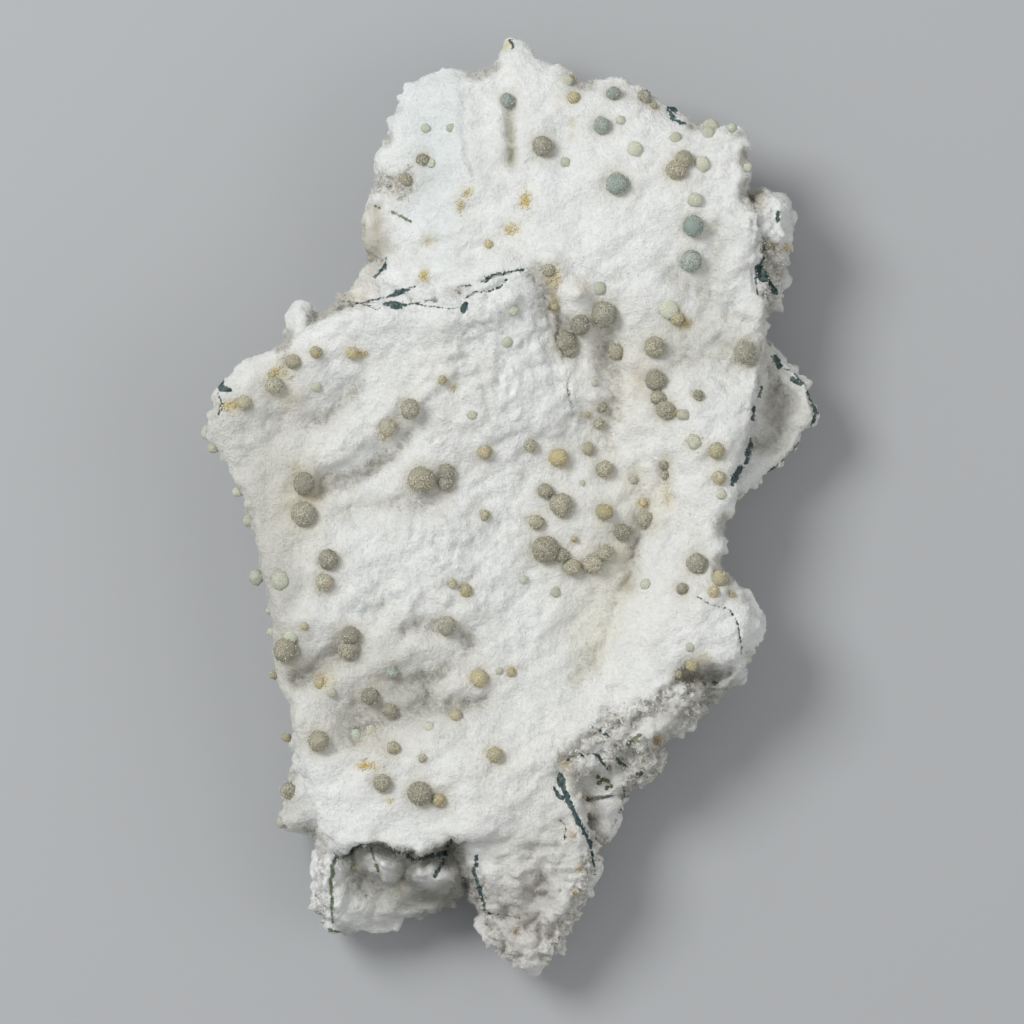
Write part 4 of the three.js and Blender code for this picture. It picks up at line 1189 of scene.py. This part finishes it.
fine = bumped(tree, noise_node(tree, FINE_GRAIN, 3.0, 0.7), 0.6, 0.3 * MM)
tree.links.new(bumped(tree, fray, 0.7, 0.9 * MM, Normal=fine), shader.inputs["Normal"])


# %% Dress a piece
def dress(obj, material, smooth=False):
    """Gives a piece its material and says which part of the model it shows."""
    obj.data.materials.clear()
    obj.data.materials.append(material)
    obj.data.polygons.foreach_set("use_smooth", [smooth] * len(obj.data.polygons))
    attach(obj, "root")
    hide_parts("okenite_specimen")
    print(obj.name, len(obj.data.polygons), "faces")


dress(crust, crust_material, smooth=True)

# %% [markdown]
# ## Gyrolite balls: where they sit
#
# The balls grew on the crust, so each one's height comes from the crust: a ray straight down finds it.
# Grown balls stand well out of it, and pale ones are low caps, half buried in the needles. The balls on
# the broken sides can't be found from above and carry a height.

# %% Seat the balls
GROWN_LIFT = 0.45              # the centre's height above the crust, as a share of the radius
GOLD_LIFT = 0.3
PALE_LIFT = 0.12

SIDE_BALLS = {  # x, y, z, diameter
    "brown": [(-44.4, -56.2, 19, 4.2)],
    "gold": [(-47.4, -32.8, 27, 2), (-45, -45.4, 24, 2)],
    "pale": [
        (-28.4, 57.6, 24, 3.2), (-26, 56.6, 26, 3), (-27.4, 54.6, 25, 3),
        (-50.8, -13.4, 30, 3), (-60.4, 15.4, 29, 3.2), (-59.4, 12.4, 28, 2.2), (-54.6, 3.6, 29, 2.2),
        (-52.4, -2.2, 29, 2.4),
        (-48.2, -20, 29, 1.6), (-47.8, -24.2, 28, 1.8), (-46.2, -62.6, 17, 2.2), (43.8, 76, 29, 2),
        (47, 68.2, 28, 1.8), (56.4, 28.2, 15, 2),
    ],
}
CAVITY_BALLS = [
    (17.3, -53.3, 0.8), (18.2, -53.9, 0.9), (19.2, -54.2, 0.8), (17.5, -54.6, 0.9), (19, -55.6, 0.8),
    (19.8, -55.3, 0.7),
]

surface = surface_of(crust)
balls = []                     # x, y, z, diameter and tint of every ball
for tint_name, listed, lift in [
    ("brown", BROWN_BALLS, GROWN_LIFT), ("blue", BLUE_BALLS, GROWN_LIFT), ("gold", GOLD_BALLS, GOLD_LIFT),
    ("pale", PALE_BALLS, PALE_LIFT), ("green", CAVITY_BALLS, GROWN_LIFT),
]:
    for x, y, diameter in listed:
        height = height_at(surface, x, y)
        balls.append((x, y, height + lift * diameter / 2, diameter, tint_name))
    balls += [(*ball, tint_name) for ball in SIDE_BALLS.get(tint_name, [])]
print(len(balls), "balls")

# %% [markdown]
# ## Many copies of a small shape
#
# Balls, plates, crumbs, grains and needles are all many copies of one small shape. Thousands of objects
# would be slow, so an operator makes the shape once, and arrays of its corners, moved and turned for each
# copy, are written into one mesh.

# %% Many copies as one mesh
def small_shape(operator, **settings):
    """The corners and triangles of a shape that a mesh operator makes."""
    shape = bmesh.new()
    operator(shape, **settings)
    bmesh.ops.triangulate(shape, faces=shape.faces)
    corners = np.array([vertex.co[:] for vertex in shape.verts])
    faces = np.array([[vertex.index for vertex in face.verts] for face in shape.faces])
    shape.free()
    return corners, faces


def mesh_of_copies(name, copies, faces):
    """One object from copies of a small shape, given as an array of copy, corner and x, y, z in mm."""
    count, corners = copies.shape[:2]
    every_face = (np.array(faces) + corners * np.arange(count)[:, None, None]).reshape(-1, 3)
    mesh = bpy.data.meshes.new(name)
    mesh.vertices.add(count * corners)
    mesh.vertices.foreach_set("co", (copies * MM).astype(np.float32).ravel())
    mesh.loops.add(every_face.size)
    mesh.loops.foreach_set("vertex_index", every_face.astype(np.int32).ravel())
    mesh.polygons.add(len(every_face))
    mesh.polygons.foreach_set("loop_start", np.arange(0, every_face.size, 3, dtype=np.int32))
    mesh.update(calc_edges=True)
    obj = bpy.data.objects.new(name, mesh)
    bpy.context.scene.collection.objects.link(obj)
    return obj


def turned_randomly(shape, sizes, centres, dice):
    """Copies of a shape, each with its own size and a random turn, at the given centres."""
    axes = np.linalg.qr(dice.normal(size=(len(centres), 3, 3)))[0]
    axes[:, 2] *= np.linalg.det(axes)[:, None]      # a mirrored copy would be inside out
    return centres[:, None] + np.einsum("cij,kj->cki", axes, shape) * np.asarray(sizes)[:, None, None]


# %% [markdown]
# ## Gyrolite balls: material
#
# Each ball is a cluster of tiny plates: sugary, speckled, and clouded in patches. The speckle is fine
# noise that scales the ball's own tint. It is partly the balls' own salt-and-pepper colour and partly
# painted light, since the same noise bumps the surface: painted shade in the gaps between the plates and
# painted highlight on their raised edges. A coarse noise says where it shows. The pale balls are smoother,
# so each mesh stores how smooth its balls are. A little light passes through them.

# %% Ball material
PLATE_NOISE = 0.26 * MM        # the size of the speckle, and of the patches where it shows
CLOUDS = 3.2 * MM
LIGHT_REACH = 0.5 * MM         # how deep light gets into a ball

ball_material, tree, shader = new_material("gyrolite", {
    "Roughness": 0.6, "Specular IOR Level": 0.3, "Subsurface Weight": 0.4,
    "Subsurface Radius": (1.0, 0.9, 0.7), "Subsurface Scale": LIGHT_REACH,
})
plate_noise = noise_node(tree, PLATE_NOISE, 2.0, 0.6)
# partly the balls' own speckle, partly painted shade in the bump's hollows and painted highlight on its tops
speckle_and_painted_light = spread(tree, plate_noise, 0.36, 0.66, 0.5, 1.75)
clouds = spread(tree, noise_node(tree, CLOUDS, 1.0), 0.46, 0.56, 1.0, 0.35)
sugary = calculated(tree, "SUBTRACT", clouds, stored(tree, "smoothness"), clamped=True)
tone = mixed(tree, sugary, 1.0, speckle_and_painted_light, kind="FLOAT")
tree.links.new(scaled(tree, stored(tree, "tint", "Color"), tone), shader.inputs["Base Color"])
tree.links.new(bumped(tree, plate_noise, 0.7, 0.12 * MM), shader.inputs["Normal"])

# %% [markdown]
# ## Gyrolite balls: shape
#
# An icosphere has even faces and no poles. Three sizes of noise push each one out of round, the two finer
# ones by the same depth on every ball, and a random squash makes no two alike. The larger balls get more
# faces.

# %% Build the balls
LARGE_BALL = 4.0               # from this diameter on a ball gets the finer mesh
PALE_FLATNESS = 0.55           # the pale caps' height, as a share of a full ball's
LUMP_DEPTH = 0.45              # in mm, on the diameter
PLATE_DEPTH = 0.2

BALL_COLOURS = {  # each ball takes a mix of its pair
    "brown": ((148, 147, 134), (168, 163, 143)), "blue": ((140, 153, 149), (160, 167, 158)),
    "gold": ((170, 169, 154), (184, 172, 132)), "pale": ((186, 192, 177), (198, 196, 176)),
    "green": ((78, 92, 64), (100, 110, 78)),
}
SMOOTHNESS = {"brown": 0.0, "blue": 0.25, "gold": 0.1, "pale": 0.6, "green": 0.0}

dice = np.random.default_rng(21)
for name, wanted, subdivisions in [
    ("gyrolite_large", [ball for ball in balls if ball[3] >= LARGE_BALL], 4),
    ("gyrolite_small", [ball for ball in balls if ball[3] < LARGE_BALL], 3),
]:
    corners, faces = small_shape(bmesh.ops.create_icosphere, subdivisions=subdivisions, radius=1)
    copies = []
    colours = []
    for x, y, z, diameter, tint_name in wanted:
        centre = np.array((x, y, z))
        on_ball = corners * diameter / 2 + centre
        swell = 1 + 0.08 * soft_noise(corners * 1.2 + centre, 1.0, 31)
        swell += LUMP_DEPTH / diameter * (lumpy(on_ball, 0.8, 32) - 0.2)
        swell += PLATE_DEPTH / diameter * soft_noise(on_ball, 0.34, 33) - 0.03
        squash = 1 + dice.uniform(-0.08, 0.05, 3)
        if (x, y, diameter) in PALE_BALLS:
            squash[2] *= PALE_FLATNESS
        copies.append(centre + corners * squash * swell[:, None] * diameter / 2)
        first, second = (np.array(shown(*colour)) for colour in BALL_COLOURS[tint_name])
        patches = np.clip(dice.uniform(0.1, 0.9) + 0.5 * soft_noise(corners * 1.2 + centre, 1.1, 34), 0, 1)
        brightness = dice.uniform(0.85, 1.1)
        colours.append(brightness * (first + patches[:, None] * (second - first)))
    piece = mesh_of_copies(name, np.array(copies), faces)
    write_colour(piece.data, "tint", np.concatenate(colours))
    write_number(piece.data, "smoothness", np.repeat([SMOOTHNESS[ball[4]] for ball in wanted], len(corners)))
    dress(piece, ball_material, smooth=True)

# %% [markdown]
# The plates' edges catch the light and stand out of the ball. Small flat chips, turned every way and sunk
# half into it, break its outline as they do. The pale balls have none.

# %% Pale plate edges on the balls
CHIPS_PER_MM2 = 7.0
CHIP_SIZE = (0.08, 0.2)        # half a chip's width, in mm
CHIP_FLATNESS = 0.5
CHIP_LIFT = 1.01               # the chips' distance from the ball's centre, in radii
PLATE_EDGE = (214, 210, 190)

chip_corners, chip_faces = small_shape(bmesh.ops.create_uvsphere, u_segments=4, v_segments=2, radius=1)
chip_corners *= (1, 1, CHIP_FLATNESS)

centres = []
for x, y, z, diameter, tint_name in balls:
    if tint_name == "pale":
        continue
    ways = dice.normal(size=(int(CHIPS_PER_MM2 * diameter**2), 3))
    ways /= np.linalg.norm(ways, axis=1)[:, None]
    centres.append((x, y, z) + ways * diameter / 2 * CHIP_LIFT)
centres = np.concatenate(centres)
sizes = dice.uniform(*CHIP_SIZE, len(centres))
plates = mesh_of_copies("gyrolite_plates", turned_randomly(chip_corners, sizes, centres, dice), chip_faces)
plate_material, _, _ = new_material("gyrolite_plates", {"Base Color": opaque(PLATE_EDGE), "Roughness": 0.35})
dress(plates, plate_material)

# %% [markdown]
# ## Celadonite
#
# The shader already colours the veins on the crust. Small dark crumbs along them break up the drawn edges
# and give the wider patches some body.

# %% Celadonite crumbs
CRUMBS_PER_MM2 = 4.0           # in the wide veins
CRUMBS_PER_MM = 6.0            # at least, along the thin ones
CRUMB_SPREAD = 0.55            # how far they stray, in half widths of the vein
CRUMB_SIZE = 0.4               # a crumb's half width, in half widths of the vein
CRUMB_LEAST = 0.07             # in mm
CRUMB_MOST = 0.17
CRUMB_COLOUR = (66, 88, 92)

centres = []
sizes = []
for _, line in VEINS:
    line = np.array(line, float)
    for start, step in zip(line, np.diff(line, axis=0)):
        length = math.hypot(*step[:2]) + start[2]
        count = dice.poisson(length * max(CRUMBS_PER_MM2 * (2 * start[2] + step[2]), CRUMBS_PER_MM))
        along = start + dice.uniform(0, 1, (count, 1)) * step
        for x, y in along[:, :2] + dice.normal(0, CRUMB_SPREAD, (count, 2)) * along[:, 2:]:
            height = height_at(surface, x, y)
            if height is not None:
                centres.append((x, y, height))
                size = min(max(CRUMB_SIZE * start[2], CRUMB_LEAST), CRUMB_MOST)
                sizes.append(dice.uniform(0.5, 1.3) * size)
centres = np.array(centres)
crumbs = mesh_of_copies("celadonite_crumbs", turned_randomly(chip_corners, sizes, centres, dice), chip_faces)
crumb_material, _, _ = new_material("celadonite", {"Base Color": opaque(CRUMB_COLOUR), "Roughness": 0.85})
dress(crumbs, crumb_material)

# %% [markdown]
# ## Scattering on the crust
#
# Grains and needles are strewn over the crust at random, thick in some places and thin in others. Each
# triangle of the crust gets a chance of its area times a weight, and a random point in it is the place.

# %% Scatter places over the crust
def triangles_of(mesh):
    mesh.calc_loop_triangles()
    corners = np.empty(len(mesh.loop_triangles) * 3, np.int32)
    mesh.loop_triangles.foreach_get("vertices", corners)
    return points_of(mesh)[corners.reshape(-1, 3)]


triangles = triangles_of(crust.data)
cross = np.cross(triangles[:, 1] - triangles[:, 0], triangles[:, 2] - triangles[:, 0])
area = np.linalg.norm(cross, axis=1) / 2
middle = triangles.mean(axis=1)
outward_of = cross / (2 * area + 1e-9)[:, None]


def scatter(count, weight, dice):
    """Random places on the crust, more of them where the weight is high, with the way out of it."""
    share = area * weight
    picked = dice.choice(len(triangles), count, p=share / share.sum())
    mix = dice.dirichlet((1, 1, 1), count)
    return (triangles[picked] * mix[:, :, None]).sum(axis=1), outward_of[picked]


def stain_at(points):
    """The strength of the amber and rust stains at these points."""
    return np.max([strength * soft_spot(points[:, :2], *spot)
                   for *spot, colour, strength in STAINS if colour in (AMBER, RUST)], axis=0)


print(len(triangles), "triangles to scatter on,", round(area.sum() / 100), "square cm")

# %% [markdown]
# ## Rubble
#
# The broken places are gritty: granules of crust, some stained tan or brown, lie in and beside the pits.
# The same small grains give the amber stains their crystalline look.

# %% Granules in the rough places and the stains
RUBBLE = 1000
STAIN_GRAINS = 1500
RUBBLE_SIZE = (0.12, 0.34)     # half a grain's width, in mm
RUBBLE_LIFT = 0.12             # how far its centre lies above the crust, in mm
RUBBLE_SHAPE = (1, 0.8, 0.65)
RUBBLE_ROUGH = 0.13            # how far its corners are out of place, as a share of its size
RUBBLE_COLOURS = [  # with the share of the grains that have it
    ((226, 224, 218), 0.72), ((208, 198, 172), 0.14), ((172, 162, 138), 0.12), ((124, 122, 100), 0.02),
]

dice = np.random.default_rng(9)
lit_side = smoothstep(-0.4, 0.1, outward_of[:, 2])
grain_corners, grain_faces = small_shape(bmesh.ops.create_icosphere, subdivisions=1, radius=1)
grit, grit_out = scatter(RUBBLE, lit_side * roughness_at(middle, grains_only=True), dice)
stained, stained_out = scatter(STAIN_GRAINS, lit_side * stain_at(middle) ** 2, dice)
centres = np.concatenate([grit, stained]) + RUBBLE_LIFT * np.concatenate([grit_out, stained_out])
sizes = dice.uniform(*RUBBLE_SIZE, len(centres))
grain_points = turned_randomly(grain_corners * RUBBLE_SHAPE, sizes, centres, dice)
grain_points += RUBBLE_ROUGH * sizes[:, None, None] * dice.normal(size=grain_points.shape)
tones = np.array([shown(*colour) for colour, _ in RUBBLE_COLOURS])
grain_colours = tones[dice.choice(len(tones), len(centres), p=[share for _, share in RUBBLE_COLOURS])]
grain_colours[len(grit):] = 0.92 * crust_colours(stained)

rubble = mesh_of_copies("okenite_rubble", grain_points, grain_faces)
write_colour(rubble.data, "tint", np.repeat(grain_colours, len(grain_corners), axis=0))
rubble_material, tree, shader = new_material("okenite_rubble", {"Roughness": 0.9, "Specular IOR Level": 0.2})
tree.links.new(stored(tree, "tint", "Color"), shader.inputs["Base Color"])
dress(rubble, rubble_material, smooth=True)

# %% [markdown]
# ## Needles: where they grow
#
# The velvety look comes from needles that are finer than a hair. Each is a thin closed spike, leaning
# over like matted wool. Millions would be needed to cover the crust with hairs of true thickness, so
# these are thicker and fewer. They grow thick and long in the hollows and round the feet of the balls.
# The bottom of the trough, the veins and the balls stay bare.

# %% Scatter the roots
NEEDLES = 190000
HOLLOW_GROWTH = 1.5            # in a hollow they grow thicker by this share for each mm of its depth
BARE = [  # x, y, reach along x and y of smooth places, and the share of the needles that is missing
    (17, -10, 6, 10, 1.0), (15.6, -23, 4, 7, 1.0), (18, 22, 3.4, 6, 1.0), (-20, -77, 9, 4, 1.0),
    (53, 18, 4, 7, 0.8),
    (24, 3, 4, 4, 1.0), (-31, -72, 3, 4, 1.0), (40, -33.8, 5, 2, 1.0), (17, -55, 4, 3, 1.0),
    (19, -62, 3, 4, 0.8),
    (-0.4, 75, 1, 6, 1.0), (-42, 37, 3, 5, 0.9), (-14, 76, 12, 16, 0.6), (14, 50, 12, 10, 0.5),
    (26, 64, 18, 12, 0.4),
]

dice = np.random.default_rng(5)
bareness = np.clip(spots_at(middle[:, :2], BARE), 0, 1)
bareness = np.maximum(bareness, stain_at(middle))
weight = smoothstep(-0.5, 0.1, outward_of[:, 2]) * smoothstep(1.0, 3.0, middle[:, 2]) * (1 - 0.9 * bareness)
weight *= smoothstep(-0.15, 0.25, vein_gap_at(middle)) * (1 - 0.6 * roughness_at(middle))
weight *= 1 + HOLLOW_GROWTH * np.clip(hollow_at(middle), 0, 1.5)
roots, outward = scatter(NEEDLES, weight, dice)
print(len(roots), "needles on the crust")

# %% Add a collar of needles round the foot of each ball
COLLAR_PER_MM = 26             # needles for each mm of the ball's diameter
COLLAR_REACH = (0.75, 1.15)    # in radii of the ball
COLLAR_LEAN = 0.5

collar_roots = []
collar_outward = []
for x, y, z, diameter, tint_name in balls:
    count = int(COLLAR_PER_MM * diameter)
    turn = dice.uniform(0, 2 * math.pi, count)
    reach = diameter / 2 * dice.uniform(*COLLAR_REACH, count)
    for dx, dy in zip(reach * np.cos(turn), reach * np.sin(turn)):
        height = height_at(surface, x + dx, y + dy)
        if height is not None and abs(height - z) < diameter:
            collar_roots.append((x + dx, y + dy, height))
            collar_outward.append((COLLAR_LEAN * dx / diameter, COLLAR_LEAN * dy / diameter, 1))
roots = np.concatenate([roots, collar_roots])
outward = np.concatenate([outward, collar_outward])
print(len(collar_roots), "needles round the balls")

# %% Leave out what is covered, and give each needle its length
LOWEST_ROOT = 1.0              # no needle grows closer than this to the ground the slab lies on
BALL_CORE = 0.48               # roots closer than this many diameters to a ball's centre are inside it
NEEDLE_LENGTH = (0.18, 0.45)
HOLLOW_LENGTH = 1.3            # needles in a hollow are longer by this share for each mm of its depth
PATCHY_LENGTH = 0.35

covered = np.zeros(len(roots), bool)
for x, y, z, diameter, _ in balls:
    covered |= np.linalg.norm(roots - (x, y, z), axis=1) < BALL_CORE * diameter
covered |= roots[:, 2] < LOWEST_ROOT
roots = roots[~covered]
outward = outward[~covered]
hollow = np.clip(hollow_at(roots), 0, 1)
patchy = 1 + PATCHY_LENGTH * soft_noise(roots, 6, 51)
length = dice.uniform(*NEEDLE_LENGTH, len(roots)) * (1 + HOLLOW_LENGTH * hollow) * patchy
print(len(roots), "needles in all, not counting the covered ones")

# %% [markdown]
# ## Needles: shape and tint
#
# A needle is a cone with three sides. Its copies are stretched and leant by three directions for each
# root: two across it and one along it. One colour for each needle would need a stored attribute, so they
# are sorted instead, each to the tint nearest to the crust's colour at its root, and each tint is a piece
# of its own.

# %% One needle, and spikes from it
NEEDLE_WIDTH = 0.048           # half its width at the foot, in mm
NEEDLE_LEAN = 1.0              # how far it leans at random, as a share of its length
NEEDLE_RISE = 0.15             # how much they turn up
ROOT_DEPTH = 0.1               # how deep their feet are sunk, in mm

needle_corners, needle_faces = small_shape(
    bmesh.ops.create_cone, cap_ends=True, segments=3, radius1=1, radius2=0, depth=1)
needle_corners += (0, 0, 0.5)


def spikes(roots, outward, length, dice):
    """Thin closed spikes that lean away from the surface's normal."""
    count = len(roots)
    lean = outward + NEEDLE_LEAN * dice.normal(size=(count, 3)) / math.sqrt(3)
    lean[:, 2] += NEEDLE_RISE
    lean /= np.linalg.norm(lean, axis=1)[:, None]
    across = np.cross(lean, dice.normal(size=(count, 3)))
    across /= np.linalg.norm(across, axis=1)[:, None]
    third = np.cross(lean, across)
    foot = roots - ROOT_DEPTH * outward
    ways = np.stack([NEEDLE_WIDTH * across, NEEDLE_WIDTH * third, length[:, None] * lean], axis=1)
    return foot[:, None] + needle_corners @ ways


print("one needle has", len(needle_faces), "faces")

# %% Grow them, sorted by the tint of the crust at their roots
# The grey and dull needles grow where the crust is greyed with painted shade, and carry that painted shade
# on them.
NEEDLE_TINTS = {
    "white": (241, 242, 239), "cool": (229, 234, 234), "cream": (236, 232, 219), "grey": (212, 209, 200),
    "straw": (216, 204, 168), "dull": (172, 170, 160),
}
MOST_PER_PIECE = 49000         # more needles than that are shared out to several pieces

root_colours = crust_colours(roots)
choices = np.array([shown(*colour) for colour in NEEDLE_TINTS.values()])
nearest = np.linalg.norm(root_colours[:, None] - choices, axis=2).argmin(axis=1)
for index, (name, colour) in enumerate(NEEDLE_TINTS.items()):
    material, _, _ = new_material("needles_" + name, {
        "Base Color": opaque(colour), "Roughness": 0.8, "Specular IOR Level": 0.3,
    })
    chosen = np.flatnonzero(nearest == index)
    for part, share in enumerate(np.array_split(chosen, math.ceil(len(chosen) / MOST_PER_PIECE)), 1):
        shape = spikes(roots[share], outward[share], length[share], dice)
        piece = mesh_of_copies(f"okenite_fuzz_{name}_{part}", shape, needle_faces)
        dress(piece, material)

# %% [markdown]
# ## Finish
#
# The box of the finished slab is printed, as that of the solids was at the start, so that the two can be
# compared. Each piece rides on its body through the empty that it was attached to.

# %% Finish
visual_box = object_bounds()
sizes = {"cad": [list(c) for c in cad_box], "visual": [list(c) for c in visual_box]}
print("visual box in mm:", [tuple(round(v / MM, 1) for v in corner) for corner in visual_box])
